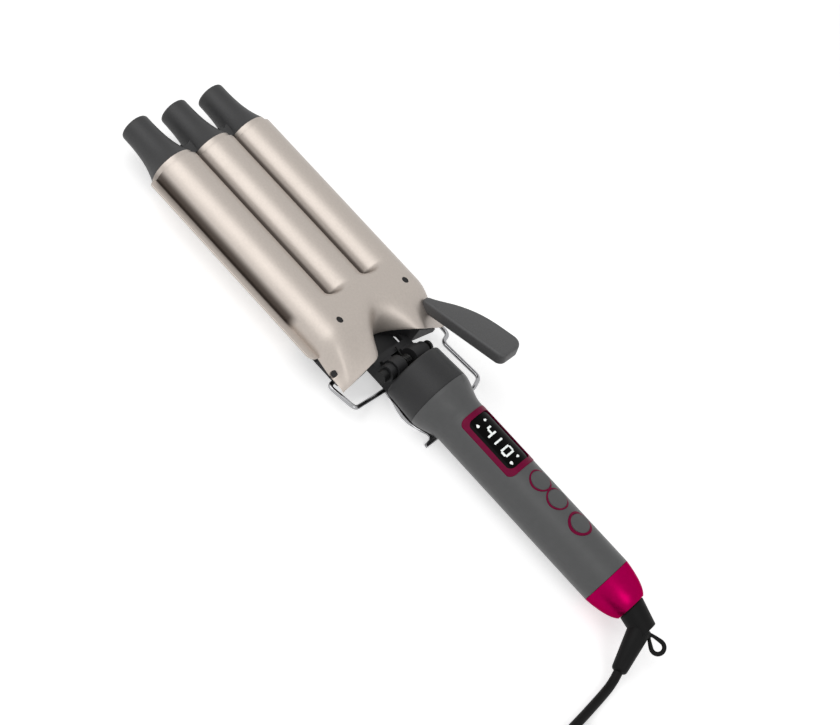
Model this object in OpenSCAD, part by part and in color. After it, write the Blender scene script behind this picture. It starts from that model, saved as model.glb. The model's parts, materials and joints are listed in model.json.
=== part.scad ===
// Three-barrel hair waver, millimetres.
// +X runs from the cool tips to the cord, +Y to the lever's side, +Z up.
// The origin is on the sole of the folded stand, which is where the waver is set down.

/* [Barrels] */
// Outside diameter of each heated barrel
barrel_d = 25; // [19:0.5:32]
// Free space between two barrels
barrel_gap = 2.6; // [2.2:0.1:6]
// Wall of a barrel
barrel_wall = 1.2; // [0.8:0.1:2]
// Length of a barrel
barrel_l = 108; // [80:1:150]
// Length of the cool tips
tip_l = 30; // [20:1:45]
// Diameter at the free end of a cool tip
tip_end_d = 16; // [12:0.5:18]
// Depth that tips and base reach into the barrels
spigot_l = 8; // [5:0.5:14]
// Thickness of a heating strip
heater_t = 4; // [2:0.5:6]

/* [Clamp] */
// Thickness of the clamp's sheet
sheet_t = 1; // [0.8:0.1:1.5]
// Air between the closed clamp and a barrel
clamp_gap = 0.3; // [0.2:0.05:1]
// Bare length of barrel ahead of the clamp
clamp_setback = 3; // [1:0.5:12]
// Height of the valleys above the barrels' middle plane
valley_z = 6.5; // [5:0.25:8]
// Width of the side lips
lip_w = 5; // [2:0.5:8]
// Distance from the notch's apex to the hinge
notch_depth = 21; // [17:0.5:24]
// Half width of the notch where it opens
notch_half_w = 17.4; // [16:0.2:20]
// Distance from the wings' back edge to the hinge
wing_gap = 7.5; // [6.5:0.5:10]
// Length over which the collar rolls down to the notch
roll_l = 16; // [12:1:17]
// Length over which the collar rolls down to the wings
wing_roll_l = 25; // [20:1:27]
// Thickness of the lever
lever_t = 7; // [5:0.5:9]
// Thickness of the plastic bracket under the collar
bracket_t = 2.5; // [2:0.1:3]
// Diameter of the small screws
screw_d = 2.6; // [2:0.1:3]

/* [Lever] */
// Distance from the middle plane to the lever's near side
lever_y = 31; // [28:0.5:33]
// Greatest width of the lever
lever_w = 19; // [14:0.5:24]
// Length of the lever
lever_l = 48; // [40:1:60]
// Height of the lever's root above the barrels' middle plane
lever_root_z = 11.5; // [10.5:0.1:13]
// Rise of the lever's top, in degrees
lever_rise = 15; // [10:1:18]

/* [Hinge] */
// Distance from the origin to the clamp's hinge
hinge_back = 17; // [15:1:24]
// Diameter of the hinge pin
pin_d = 4; // [3:0.5:5]
// Length of the hinge pin
pin_l = 40; // [34:1:44]
// Thickness of each hinge ear
ear_t = 4; // [3:0.5:5]
// Distance from the hinge to the barrels' back ends
neck_l = 41; // [39:1:50]
// Width of the neck
neck_w = 22.4; // [18:0.2:24]
// Radial clearance of the running fits
run_fit = 0.05; // [0.02:0.01:0.1]

/* [Handle] */
// Height of the handle's axis above the sole
axis_h = 19.5; // [19.5:0.5:24]
// Diameter of the front housing at its back
housing_d = 35.6; // [33:0.2:35.8]
// Diameter of the front housing at its front
housing_front_d = 33.8; // [32:0.2:35.6]
// Length of the front housing
housing_l = 19.5; // [14:0.5:26]
// Length of the handle's taper
taper_l = 16; // [12:1:30]
// Diameter of the grip
grip_d = 27.4; // [27:0.2:30]
// Length of the straight grip
grip_l = 104.5; // [102:0.5:130]
// Wall of the handle's shells
shell_t = 2.2; // [1.6:0.1:2.6]
// Length of the end cap
cap_l = 17.5; // [15:0.5:30]
// Diameter of the end cap's back edge
cap_end_d = 16.4; // [15:0.2:20]

/* [Controls] */
// Distance from the taper's end to the display's middle
display_x = 20.2; // [19.5:0.1:21]
// Length of the display frame
frame_l = 37; // [32:0.5:38]
// Width of the display frame
frame_w = 20.8; // [18:0.2:21]
// Length of the display window
window_l = 31; // [24:0.2:33]
// Width of the display window
window_w = 17.2; // [15:0.2:18]
// Diameter of each button
button_d = 10.6; // [8:0.2:10.8]
// Outside diameter of the button rings
ring_d = 12.2; // [11.8:0.2:14]
// Distance between the first two buttons
button_pitch = 12; // [11.6:0.2:12.6]
// Distance between the second and third button
power_pitch = 16; // [13:0.5:16]
// Travel of a button
button_travel = 0.8; // [0.3:0.1:1]
// Thickness of the circuit board
board_t = 1.6; // [1:0.1:2]

/* [Stand] */
// Diameter of the stand's wire
wire_d = 2.4; // [2:0.1:2.6]
// Distance from the hinge to the stand's pivot
stand_ahead = 13; // [11:1:14]
// Height of the pivot below the handle's axis
stand_drop = 8.3; // [8:0.1:8.8]
// Distance from the middle plane to the wire's legs
leg_y = 41; // [40:0.5:46]
// Thickness of the stand's foot
foot_t = 1.2; // [0.8:0.1:1.2]
// Length of the stand's foot
foot_l = 36; // [32:1:44]
// Width of the stand's foot
foot_w = 24; // [18:1:30]

/* [Cord] */
// Diameter of the mains cord
cord_d = 4.8; // [4:0.1:6]
// Diameter of the swivel's neck
swivel_d = 13.2; // [12:0.1:14]
// Length of the swivel outside the cap
swivel_l = 13; // [11:0.5:20]
// Length of the strain relief
relief_l = 27.7; // [20:0.1:29]
// Bore of the hanging loop
loop_bore_d = 5; // [4:0.1:5.4]
// Outside diameter of the hanging loop
loop_d = 9; // [8:0.2:10]
// Thickness of the hanging loop
loop_t = 2.4; // [1.8:0.1:3]
// Diameter of the cord's coil at the middle of its turns
coil_d = 57.6; // [54:0.2:66]

/* [Hidden] */
$fn = 64;

champagne = [0.80, 0.75, 0.70];
charcoal = [0.24, 0.24, 0.24];
grip_grey = [0.38, 0.38, 0.38];
magenta = [0.63, 0.0, 0.29];
steel = [0.62, 0.63, 0.64];
black = [0.08, 0.08, 0.08];

// Barrels and what holds them
barrel_r = barrel_d / 2;
bore_r = barrel_r - barrel_wall;
pitch = barrel_d + barrel_gap;
SIDES = [-1, 0, 1];
hinge_x = -hinge_back;
base_x = hinge_x - neck_l;
barrel_x = base_x - barrel_l;
fit = 0.05;
spigot_r = bore_r - fit;
spigot_bore_r = spigot_r - 2;
tip_round = 1.5;
heater_x = barrel_x + spigot_l + 6;
heater_l = barrel_l - 2 * spigot_l - 12;
heater_w = 15;
base_flange_l = 3;
base_block_l = 8;
base_top = 9;
base_bottom = -barrel_r;
base_foot_l = 14;
chamber_x = base_x + 1.5;
chamber_l = 4.5;
neck_top = -5.2;
neck_bottom = -12.7;
channel_z = -8.9;
channel_r = 3;
lug_r = 6.5;
spring_half_w = 4.2;
lead_d = 1.4;
disc_r = housing_front_d / 2 - shell_t - fit;

// Clamp sheet and collar
clamp_in_r = barrel_r + clamp_gap;
clamp_out_r = clamp_in_r + sheet_t;
clamp_x = barrel_x + clamp_setback;
collar_x = base_x - 8;
valley_end_x = collar_x + 5.4;
lip_end_x = base_x + 16;
notch_z = -3;
wing_z = 6.7;
wing_tip_z = -4;
notch_turn = 57;
wing_bend = 0.4;
ear_hole_d = 3.6;
bracket_gap = 0.1;
bracket_rim_z = -4.5;
bridge_h = 2.7;
side_turn = 20;
notch_x = hinge_x - notch_depth;
wing_x = hinge_x - wing_gap;
wing_tip_x = wing_x + 3;
notch_flat = 4;
screw_x = base_x + 9;
screw_y = pitch - 1.3;
ear_gap = 0.3;
ear_y = neck_w / 2 + ear_gap;
boss_r = pin_d / 2 + 2.5;

// Lever
lever_x = hinge_x - 18;
rivet_x = hinge_x - 11;
rivet_y = lever_y + 5;

// Handle stations
housing_x = hinge_x + 5.5;
housing_back_x = housing_x + housing_l;
grip_x = housing_back_x + taper_l;
cap_x = grip_x + grip_l;
cap_end_x = cap_x + cap_l;
grip_r = grip_d / 2;
grip_in_r = grip_r - shell_t;
housing_in_r = housing_front_d / 2 - shell_t;
collar_l = 8;
disc_l = 9;

// Controls, heights above the axis
board_z = 4.4;
board_top = board_z + board_t;
board_w = 19;
board_l = 84;
board_x = grip_x + 4;
display_mid = grip_x + display_x;
window_deep = 0.5;
window_t = 1;
seat_gap = 0.05;
proud = 0.25;
button_x = display_mid + 28.3;
BUTTON_X = [button_x, button_x + button_pitch, button_x + button_pitch + power_pitch];
flange_r = button_d / 2 + 0.45;
flange_top = 9.35;
flange_t = 1;
switch_h = 1.4;
SCREWS = [[grip_x - 8, 6], [grip_x - 8, -6], [cap_x - 11, 0]];
post_r = 3;
screw_seat_z = -10;
screw_l = 15;

// Stand
stand_x = hinge_x - stand_ahead;
stand_z = axis_h - stand_drop;
arm_y = 29.6;
arm_t = 4.4;
wire_r = wire_d / 2;
front_bar_x = hinge_x + 2.5;
back_bar_x = front_bar_x + 26.5;
bar_z = foot_t + wire_r + 0.05;
hem_r = wire_r + 1.15;
rim_h = 4;

// Cord
swivel_r = swivel_d / 2;
cap_bore_r = swivel_r + run_fit;
hub_x = cap_end_x - 10;
hub_r = 9;
hub_t = 3;
cap_in_r = 9.6;
slip_shaft_r = 4;
slip_r = 5;
elbow_x = cap_end_x + swivel_l - 4;
relief_dir = [0.33, -0.80, -0.50] / norm([0.33, -0.80, -0.50]);
relief_start_r = swivel_d / 2 - 0.4;
relief_end_r = cord_d / 2 + 1.4;
elbow_at = [elbow_x, 0, axis_h];
relief_root = elbow_at + 7.5 * relief_dir;
relief_end = elbow_at + relief_l * relief_dir;
LOOP_AXIS = unit([0, 0.50, -0.80]);
loop_at = [elbow_x + 13.5, -2.6, axis_h - 2.6];
cord_x = 167;
cord_z = cord_d / 2 + 0.1;
coil_y = -86;
coil_rows = 5;
coil_layers = 2;
turn_step = cord_d + 0.1;
coil_w = (coil_rows - 1) * turn_step + cord_d;
coil_h = (coil_layers - 1) * turn_step + cord_d;
coil_z = 0.7;
tie_t = 0.6;
coil_at = [cord_x + coil_d / 2 + (coil_rows - 1) / 2 * turn_step, coil_y, coil_z + coil_h / 2];
CORD_ROUTE = [
    relief_end, [165.4, -25.8, 3.9], [166.1, -29.7, 2.85], [166.5, -34, cord_z],
    [166.8, -41, cord_z], [166.9, -48, cord_z], [cord_x, -55, cord_z], [cord_x, -62, 2.6],
    [cord_x, -69, 2.9], [cord_x, coil_y + 10, 3.1]
];
plug_at = [192, -141, 7];
TAIL_ROUTE = [
    [cord_x, coil_y - 11, 8], [cord_x, -109, 7], [cord_x, -120, 5.4], [169.8, -130.5, 4.6],
    [177.5, -138.2, 5], [186.5, -141, 6.2], plug_at
];

// ---- shapes used more than once ----

function unit(v) = v / norm(v);
function tangent(p, i) = unit(p[min(i + 1, len(p) - 1)] - p[max(i - 1, 0)]);
function carried(p, i) =
    let (t = tangent(p, i), from = i == 0 ? [0.1, 0.2, 1] : carried(p, i - 1))
    unit(from - (from * t) * t);

// A corner at q between p and r, as a short curve of n steps
function corner(p, q, r, size, n) =
    let (a = q + size * unit(p - q), b = q + size * unit(r - q))
    [for (i = [0:n]) let (s = i / n) (1 - s) * (1 - s) * a + 2 * s * (1 - s) * q + s * s * b];

// A path with each inner corner rounded
function bent(path, size, n = 5) = concat(
    [path[0]],
    [for (i = [1:len(path) - 2]) each corner(path[i - 1], path[i], path[i + 1], size, n)],
    [path[len(path) - 1]]
);

// A smooth curve through all points, n steps to each stretch
function through(p, n) = concat(
    [for (i = [0:len(p) - 2], j = [0:n - 1])
        let (
            s = j / n,
            a = p[max(i - 1, 0)], b = p[i], c = p[i + 1], d = p[min(i + 2, len(p) - 1)]
        )
        0.5 * (2 * b + (c - a) * s + (2 * a - 5 * b + 4 * c - d) * s * s
            + (3 * b - a - 3 * c + d) * s * s * s)],
    [p[len(p) - 1]]
);

function ease(a, b, x) = let (s = min(1, max(0, (x - a) / (b - a)))) s * s * (3 - 2 * s);

module tube(path, d, sides = 8) {
    n = len(path);
    rings = [for (i = [0:n - 1])
        let (t = tangent(path, i), u = carried(path, i), v = cross(t, u))
        for (k = [0:sides - 1])
            path[i] + d / 2 * (cos(360 * k / sides) * u + sin(360 * k / sides) * v)];
    walls = [for (i = [0:n - 2], k = [0:sides - 1])
        let (a = i * sides + k, b = i * sides + (k + 1) % sides)
        each [[a, a + sides, b + sides], [a, b + sides, b]]];
    ends = [[for (k = [0:sides - 1]) k], [for (k = [sides - 1:-1:0]) (n - 1) * sides + k]];
    polyhedron(rings, concat(walls, ends));
}

// A closed skin between two grids of points, outer and inner
module between(outer, inner) {
    rows = len(outer);
    cols = len(outer[0]);
    all = rows * cols;
    points = concat([for (r = outer) each r], [for (r = inner) each r]);
    over = [for (i = [0:rows - 2], k = [0:cols - 2])
        let (a = i * cols + k) each [[a, a + cols + 1, a + 1], [a, a + cols, a + cols + 1]]];
    under = [for (f = over) [f[2] + all, f[1] + all, f[0] + all]];
    loop = concat(
        [for (k = [0:cols - 2]) k],
        [for (i = [0:rows - 2]) i * cols + cols - 1],
        [for (k = [cols - 1:-1:1]) (rows - 1) * cols + k],
        [for (i = [rows - 1:-1:1]) i * cols]
    );
    m = len(loop);
    rim = [for (j = [0:m - 1])
        let (a = loop[j], b = loop[(j + 1) % m]) each [[a, b + all, a + all], [a, b, b + all]]];
    polyhedron(points, concat(over, under, rim));
}

// A turned shape lying along the handle's axis
module turned(outline) {
    translate([0, 0, axis_h]) rotate([90, 0, 90]) rotate_extrude() polygon(outline);
}

module along_x(r, x0, x1, z = 0, y = 0) {
    translate([x0, y, axis_h + z]) rotate([0, 90, 0]) cylinder(r = r, h = x1 - x0);
}

module across(r, x, y0, y1, z = 0) {
    translate([x, y1, axis_h + z]) rotate([90, 0, 0]) cylinder(r = r, h = y1 - y0);
}

module block(x0, x1, y0, y1, z0, z1) {
    translate([x0, y0, axis_h + z0]) cube([x1 - x0, y1 - y0, z1 - z0]);
}

module rounded_slab(l, w, r) {
    for (s = [-1, 1]) {
        translate([-l / 2 + r, s * (w / 2 - r)]) circle(r);
        translate([l / 2 - r, s * (w / 2 - r)]) circle(r);
    }
    square([l - 2 * r, w], center = true);
    square([l, w - 2 * r], center = true);
}
// A straight piece from one point towards another, pointing along dir
module aimed(at, dir) {
    translate(at) rotate([0, acos(dir[2]), atan2(dir[1], dir[0])]) children();
}

// ---- the barrels and their ends ----

module barrel(y) {
    color(champagne) difference() {
        along_x(barrel_r, barrel_x, base_x, 0, y);
        along_x(bore_r, barrel_x - 1, base_x + 1, 0, y);
    }
}

module barrel_left() {
    barrel(-pitch);
}

module barrel_centre() {
    barrel(0);
}

module barrel_right() {
    barrel(pitch);
}

// Two half rounds press the heating strip's heat into the bore
module spreader(y) {
    color(steel) difference() {
        along_x(bore_r - fit, heater_x, heater_x + heater_l, 0, y);
        block(heater_x - 1, heater_x + heater_l + 1, y - barrel_r, y + barrel_r,
            -heater_t / 2 - fit, heater_t / 2 + fit);
    }
}

module spreader_left() {
    spreader(-pitch);
}

module spreader_centre() {
    spreader(0);
}

module spreader_right() {
    spreader(pitch);
}

module heater(y) {
    color([0.85, 0.82, 0.75])
    block(heater_x, heater_x + heater_l, y - heater_w / 2, y + heater_w / 2,
        -heater_t / 2, heater_t / 2);
}

module heater_left() {
    heater(-pitch);
}

module heater_centre() {
    heater(0);
}

module heater_right() {
    heater(pitch);
}

function horn_r(t) = tip_end_d / 2 + (barrel_d - tip_end_d) / 2 * pow(t, 3);

module horn(y) {
    crown = 0.4;
    nose = [for (a = [0:15:90])
        [tip_end_d / 2 - tip_round * (1 - sin(a)), crown + tip_round * (1 - cos(a))]];
    flank = [for (t = [0.1:0.1:1]) [horn_r(t), tip_l * t]];
    spigot = [
        [spigot_r, tip_l], [spigot_r, tip_l + spigot_l], [spigot_bore_r, tip_l + spigot_l],
        [spigot_bore_r, tip_l - 2], [5, 14], [0, 14]
    ];
    translate([barrel_x - tip_l, y, 0]) turned(concat([[0, 0]], nose, flank, spigot));
}

// One moulding joins the three horns by webs with hollowed edges
module cool_tips() {
    web_l = 10;
    web_h = 10;
    color(charcoal) {
        for (s = SIDES) horn(s * pitch);
        for (s = [-1, 1]) difference() {
            block(barrel_x - web_l, barrel_x, s * pitch / 2 - 3.2, s * pitch / 2 + 3.2,
                -web_h / 2, web_h / 2);
            translate([barrel_x - web_l, s * pitch / 2, 0]) cylinder(r = 4.2, h = 2 * axis_h);
        }
    }
}

// A bar with round sides across all three barrels
module base_bar(x0, x1, r) {
    block(x0, x1, -pitch, pitch, -r, r);
    for (s = [-1, 1]) along_x(r, x0, x1, 0, s * pitch);
}

module barrel_base() {
    block_x = base_x + base_flange_l;
    block_end_x = base_x + base_block_l;
    foot_end_x = base_x + base_foot_l;
    color(charcoal) difference() {
        union() {
            for (s = SIDES) along_x(spigot_r, base_x - spigot_l, base_x + 1, 0, s * pitch);
            base_bar(base_x, block_x, barrel_r);
            intersection() {
                base_bar(block_x - 1, foot_end_x, barrel_r);
                union() {
                    block(block_x - 1, block_end_x, -38, 38, base_bottom, base_top);
                    block(block_x - 1, foot_end_x, -38, 38, base_bottom, neck_top);
                }
            }
            for (s = [-1, 1]) {
                block(foot_end_x - 4, stand_x, s * (arm_y + arm_t / 2) - arm_t / 2,
                    s * (arm_y + arm_t / 2) + arm_t / 2, -stand_drop - 3.6, -stand_drop + 3.6);
                across(3.6, stand_x, s * (arm_y + arm_t / 2) - arm_t / 2,
                    s * (arm_y + arm_t / 2) + arm_t / 2, -stand_drop);
            }
        }
        for (s = SIDES) along_x(spigot_bore_r, base_x - spigot_l - 1, chamber_x + 1, 0, s * pitch);
        block(chamber_x, chamber_x + chamber_l, -pitch - 5, pitch + 5, base_bottom + 1, 4);
        along_x(channel_r, chamber_x + 1, foot_end_x + 1, channel_z);
        across(wire_r + run_fit, stand_x, -50, 50, -stand_drop);
    }
}

// The neck carries the hinge and runs into the handle as a round plug
module neck() {
    foot_end_x = base_x + base_foot_l;
    color(charcoal) difference() {
        union() {
            block(foot_end_x, housing_x, -neck_w / 2, neck_w / 2, neck_bottom, neck_top);
            block(hinge_x - lug_r, hinge_x + lug_r - 1.5, -neck_w / 2, neck_w / 2, neck_top - 1, 0);
            across(lug_r - 1, hinge_x, -neck_w / 2, neck_w / 2);
            along_x(disc_r, housing_x, housing_x + disc_l);
        }
        block(hinge_x - lug_r - 5, housing_x, -spring_half_w, spring_half_w, neck_top, lug_r + 1);
        across(pin_d / 2, hinge_x, -neck_w, neck_w);
        along_x(channel_r, foot_end_x - 1, housing_x + 2 + disc_l, channel_z);
    }
}

module thermal_fuse() {
    color([0.75, 0.6, 0.2])
    across(1.8, chamber_x + chamber_l / 2, 8, 20, 2.1);
}

module heater_leads() {
    chamber_mid = chamber_x + chamber_l / 2;
    color([0.8, 0.15, 0.1]) for (s = SIDES) {
        y = 1.5 * s;
        path = [
            [heater_x + heater_l, s * pitch, axis_h], [chamber_mid, s * pitch, axis_h],
            [chamber_mid, s * pitch, axis_h - 7], [chamber_mid, y, axis_h + channel_z],
            [housing_back_x, y, axis_h + channel_z], [board_x + 3, y, axis_h - 2],
            [board_x + 3, y, axis_h + board_z]
        ];
        tube(bent(s == 0 ? [for (i = [0, 1, 3, 4, 5, 6]) path[i]] : path, 2, 3), lead_d, 6);
    }
}

// ---- the clamp ----

// Part of a circle in the section of the clamp, as points from one angle to the other
function arc(r, y, from, to, n) =
    [for (i = [0:n]) let (a = from + (to - from) * i / n) [y + r * cos(a), r * sin(a)]];

// The ribbed section from the left side over three crests to the right side
function ribs(r, valley) =
    let (a = asin(valley / r))
    concat(
        arc(r, -pitch, 180, a, 20), arc(r, 0, 180 - a, a, 20), arc(r, pitch, 180 - a, 0, 20)
    );

function reversed(p) = [for (i = [len(p) - 1:-1:0]) p[i]];

module side_lips(x0, x1, round_front, round_back) {
    for (s = [-1, 1]) difference() {
        block(x0, x1, min(s * (pitch + clamp_in_r), s * (pitch + clamp_out_r + lip_w)),
            max(s * (pitch + clamp_in_r), s * (pitch + clamp_out_r + lip_w)), 0, sheet_t);
        edge_y = s * (pitch + clamp_out_r + lip_w);
        if (round_front > 0) translate([x0, edge_y, 0]) lip_corner(1, -s, round_front);
        if (round_back > 0) translate([x1, edge_y, 0]) lip_corner(-1, -s, round_back);
    }
}

// What a rounded corner takes away, inwards along sx and sy
module lip_corner(sx, sy, r) {
    difference() {
        translate([sx > 0 ? -1 : -r, sy > 0 ? -1 : -r, 0]) cube([r + 1, r + 1, 2 * axis_h]);
        translate([sx * r, sy * r, -1]) cylinder(r = r, h = 2 * axis_h + 2);
    }
}

module clamp_plate() {
    color(champagne) {
        translate([clamp_x, 0, axis_h]) rotate([90, 0, 90]) linear_extrude(collar_x - clamp_x)
            polygon(concat(
                ribs(clamp_out_r, valley_z), reversed(ribs(clamp_in_r, valley_z - sheet_t))
            ));
        side_lips(clamp_x, collar_x, min(3, lip_w - 0.5), 0);
    }
}

// Height of the ribbed section at y
function crest(r, valley, y) =
    let (d = abs(y) > pitch / 2 ? abs(y) - pitch : y)
    abs(d) < r ? max(valley, sqrt(r * r - d * d)) : valley;

// Place in the collar's section for a column u, where w goes from ribbed to smooth
function collar_yz(r, valley, u, w) =
    abs(u) <= pitch
        ? [u, crest(r, valley, u) * (1 - w) + r * w]
        : let (a = (abs(u) - pitch) / side_turn * 90)
            [sign(u) * (pitch + r * sin(a)), r * cos(a)];

// From 0 at the middle of the notch to 1 at its corners
function notch_share(y) = min(1, max(0, (abs(y) - notch_flat) / (notch_half_w - notch_flat)));

// From 0 at the notch's corners to 1 at the sides
function wing_share(y) = max(0, (abs(y) - notch_half_w) / (pitch + clamp_out_r - notch_half_w));

// The back edge of the collar in plan
function collar_edge(y) =
    notch_x + (wing_x - notch_x) * notch_share(y) + (wing_tip_x - wing_x) * wing_share(y);

// Height of the back edge: low in the notch, high at its corners, low again at the sides
function collar_rim(y) =
    notch_z + (wing_z - notch_z) * notch_share(y) + (wing_tip_z - wing_z) * wing_share(y);

// The sheet is round round the notch and flat over the wings: 0 for the one and 1 for the other
function flatness(y) = ease(notch_flat, notch_half_w + 6, abs(y));

function collar_roll(y) = roll_l + (wing_roll_l - roll_l) * flatness(y);

// How far the sheet has come down at the share s of its roll
function collar_drop(s, y) =
    let (
        round_part = (1 - sqrt(1 - pow(s * sin(notch_turn), 2))) / (1 - cos(notch_turn)),
        flat_part = (s < wing_bend ? s * s / 2 / wing_bend : s - wing_bend / 2) / (1 - wing_bend / 2),
        wing_part = flat_part + (ease(0, 0.6, s) - flat_part) * ease(0.4, 1, wing_share(y))
    )
    round_part + (wing_part - round_part) * flatness(y);

// One column of the collar, shrunk inwards by in
function collar_column(u, in) =
    let (
        r = clamp_out_r - in, valley = valley_z - in,
        top = collar_yz(r, valley, u, 1),
        y = collar_yz(clamp_out_r, valley_z, u, 1)[0], slope = 62 - 40 * flatness(y),
        edge = collar_edge(y) - in * sin(slope), rim = collar_rim(y) - in * cos(slope),
        roll = collar_roll(y) - in * sin(slope), start = max(valley_end_x + 0.5, edge - roll),
        front = [for (i = [0:4]) collar_x + (valley_end_x - collar_x) * i / 4],
        flat = [for (i = [1:3]) valley_end_x + (start - valley_end_x) * i / 3]
    )
    concat(
        [for (x = concat(front, flat))
            let (p = collar_yz(r, valley, u, ease(collar_x, valley_end_x, x)))
            [x, p[0], p[1] + axis_h]],
        [for (i = [1:9]) let (s = i / 9)
            [start + (edge - start) * s, top[0],
                axis_h + top[1] - (top[1] - rim) * collar_drop(s, y)]]
    );

// Columns stand on the section's and the notch's corners, so that sheet and bracket nest
COLLAR_HALF = concat(
    [2], [for (i = [0:8]) notch_flat + (notch_half_w - notch_flat) * i / 9],
    [for (i = [0:6]) notch_half_w + (pitch - notch_half_w) * i / 7],
    [for (i = [0:6]) pitch + side_turn * i / 6]
);

function collar_columns() = concat([for (u = reversed(COLLAR_HALF)) -u], [0], COLLAR_HALF);

module clamp_collar() {
    color(champagne) difference() {
        union() {
            between(
                [for (u = collar_columns()) collar_column(u, 0)],
                [for (u = collar_columns()) collar_column(u, sheet_t)]
            );
            side_lips(collar_x, lip_end_x, 0, min(4.5, lip_w - 0.5));
        }
        for (s = [-1, 1]) translate([screw_x, s * screw_y, axis_h]) {
            cylinder(d = screw_d + 0.1, h = clamp_out_r);
            translate([0, 0, clamp_in_r]) cylinder(d1 = screw_d, d2 = screw_d + 1.5, h = sheet_t + 0.2);
        }
        rivet_at() cylinder(d = screw_d + 0.1, h = 30, center = true);
        for (s = [-1, 1]) translate([wing_tip_x - 10, s * (pitch + clamp_out_r), axis_h - 0.8])
            rotate([90, 0, 0]) cylinder(d = ear_hole_d, h = 3, center = true);
    }
}

// The plastic bracket holds the sheet and swings on the hinge pin
module clamp_bracket() {
    columns = [for (u = collar_columns()) if (abs(u) < pitch + side_turn / 2.5) u];
    top = sheet_t + bracket_gap;
    color(charcoal) difference() {
        union() {
            bracket_shell(columns, top);
            for (s = [-1, 1]) {
                y0 = min(s * ear_y, s * (ear_y + ear_t));
                block(notch_x + 4, hinge_x, y0, y0 + ear_t, bracket_rim_z, bracket_rim_z + bridge_h);
                across(boss_r, hinge_x, y0, y0 + ear_t);
            }
            block(hinge_x - 10.5, hinge_x - 7, -ear_y - 1, ear_y + 1,
                bracket_rim_z, bracket_rim_z + bridge_h);
        }
        across(pin_d / 2 + run_fit, hinge_x, -50, 50);
        for (s = [-1, 1]) translate([screw_x, s * screw_y, axis_h]) cylinder(d = screw_d, h = 20);
    }
}

// A bracket column starts behind the barrel base's flange, follows the sheet, and ends in a wall
function bracket_column(u, in) =
    let (c = collar_column(u, in), n = len(c) - 10, last = c[len(c) - 1])
    concat([[base_x + (abs(u) > pitch ? base_block_l + 1 : 5), c[n][1], c[n][2]]],
        [for (i = [n:len(c) - 1]) c[i]],
        [[last[0], last[1], axis_h + bracket_rim_z]]);

module bracket_shell(columns, top) {
    between(
        [for (u = columns) bracket_column(u, top)],
        [for (u = columns) bracket_column(u, top + bracket_t)]
    );
}

// Sunk screws, whose cones sit in the sheet's cones
module collar_screws() {
    color(black) for (s = [-1, 1]) translate([screw_x, s * screw_y, axis_h]) {
        translate([0, 0, clamp_in_r]) cylinder(d1 = screw_d - 0.1, d2 = screw_d + 0.9, h = 0.8 * sheet_t);
        translate([0, 0, clamp_in_r - 3]) cylinder(d = screw_d - 0.1, h = 3.1);
    }
}

// ---- the lever on the right wing ----

module lever_plan() {
    tip_r = 6;
    polygon([[0, 1.5], [1.5, 0], [lever_l - 4, 0], [lever_l - 1.2, 1.2], [lever_l, 4],
        [lever_l, lever_w - tip_r], [lever_l - 1.8, lever_w - 1.8], [lever_l - tip_r, lever_w],
        [lever_l * 0.75, lever_w], [lever_l * 0.5, 0.92 * lever_w], [lever_l * 0.3, 0.7 * lever_w],
        [lever_l * 0.14, 0.42 * lever_w], [1.5, 5], [0, 3.5]]);
}

module lever_block() {
    translate([lever_x, lever_y, axis_h + lever_root_z]) rotate([0, -lever_rise, 0])
        translate([0, 0, -lever_t]) linear_extrude(lever_t) lever_plan();
}

module rivet_at() {
    translate([rivet_x, rivet_y, axis_h]) children();
}

module lever() {
    color(charcoal) difference() {
        lever_block();
        lever_seat();
        rivet_at() cylinder(d = screw_d, h = 8);
    }
}

// Everything below the right wing's surface, where the lever is seated
module lever_seat() {
    columns = [for (u = collar_columns()) if (u > lever_y - 5) u];
    skin = [for (u = columns) let (c = collar_column(u, -0.1))
        [for (i = [7:len(c) - 1]) c[i]]];
    floor = [for (c = skin) [for (p = c) [p[0], p[1], axis_h - 12]]];
    between(skin, floor);
}

module lever_rivet() {
    color(steel) rivet_at() {
        cylinder(d = screw_d - 0.1, h = 7.8);
    }
}

// ---- the hinge ----

module hinge_pin() {
    color(steel) {
        across(pin_d / 2 - 0.02, hinge_x, -pin_l / 2, pin_l / 2);
        across(pin_d / 2 + 1.2, hinge_x, -pin_l / 2, -ear_y - ear_t - ear_gap);
        across(pin_d / 2 + 1.2, hinge_x, pin_l / 2 - 1.5, pin_l / 2);
    }
}

// Turns round the pin, with one leg in the neck's slot and one on the bracket's bridge
module clamp_spring() {
    wire = 1.2;
    turns = 4;
    turn_r = pin_d / 2 + 0.3 + wire / 2;
    steps = 12 * turns;
    width = 2 * spring_half_w - 2 * wire;
    coil = [for (i = [0:steps]) let (a = 270 - 30 * i, y = width * (i / steps - 0.5))
        [hinge_x + turn_r * cos(a), y, axis_h + turn_r * sin(a)]];
    back_leg = [[housing_x - wire / 2, -width / 2, axis_h + neck_top + wire]];
    front_leg = [[hinge_x - 9, width / 2, axis_h + bracket_rim_z + bridge_h + 1.4]];
    color(steel) tube(concat(back_leg, coil, front_leg), wire, 6);
}

// ---- the handle ----

function shell_outline(inset) = [
    for (t = [0:0.125:1])
        [housing_d / 2 - inset - (housing_d / 2 - grip_r) * ease(0, 1, t), housing_back_x + taper_l * t],
    [grip_r - inset, cap_x]
];

module shell_body() {
    turned(concat([[0, housing_back_x]], shell_outline(0), [[0, cap_x]]));
    turned([[0, housing_back_x - collar_l], [housing_in_r - fit, housing_back_x - collar_l],
        [housing_in_r - fit, housing_back_x + 1], [0, housing_back_x + 1]]);
}

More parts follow.
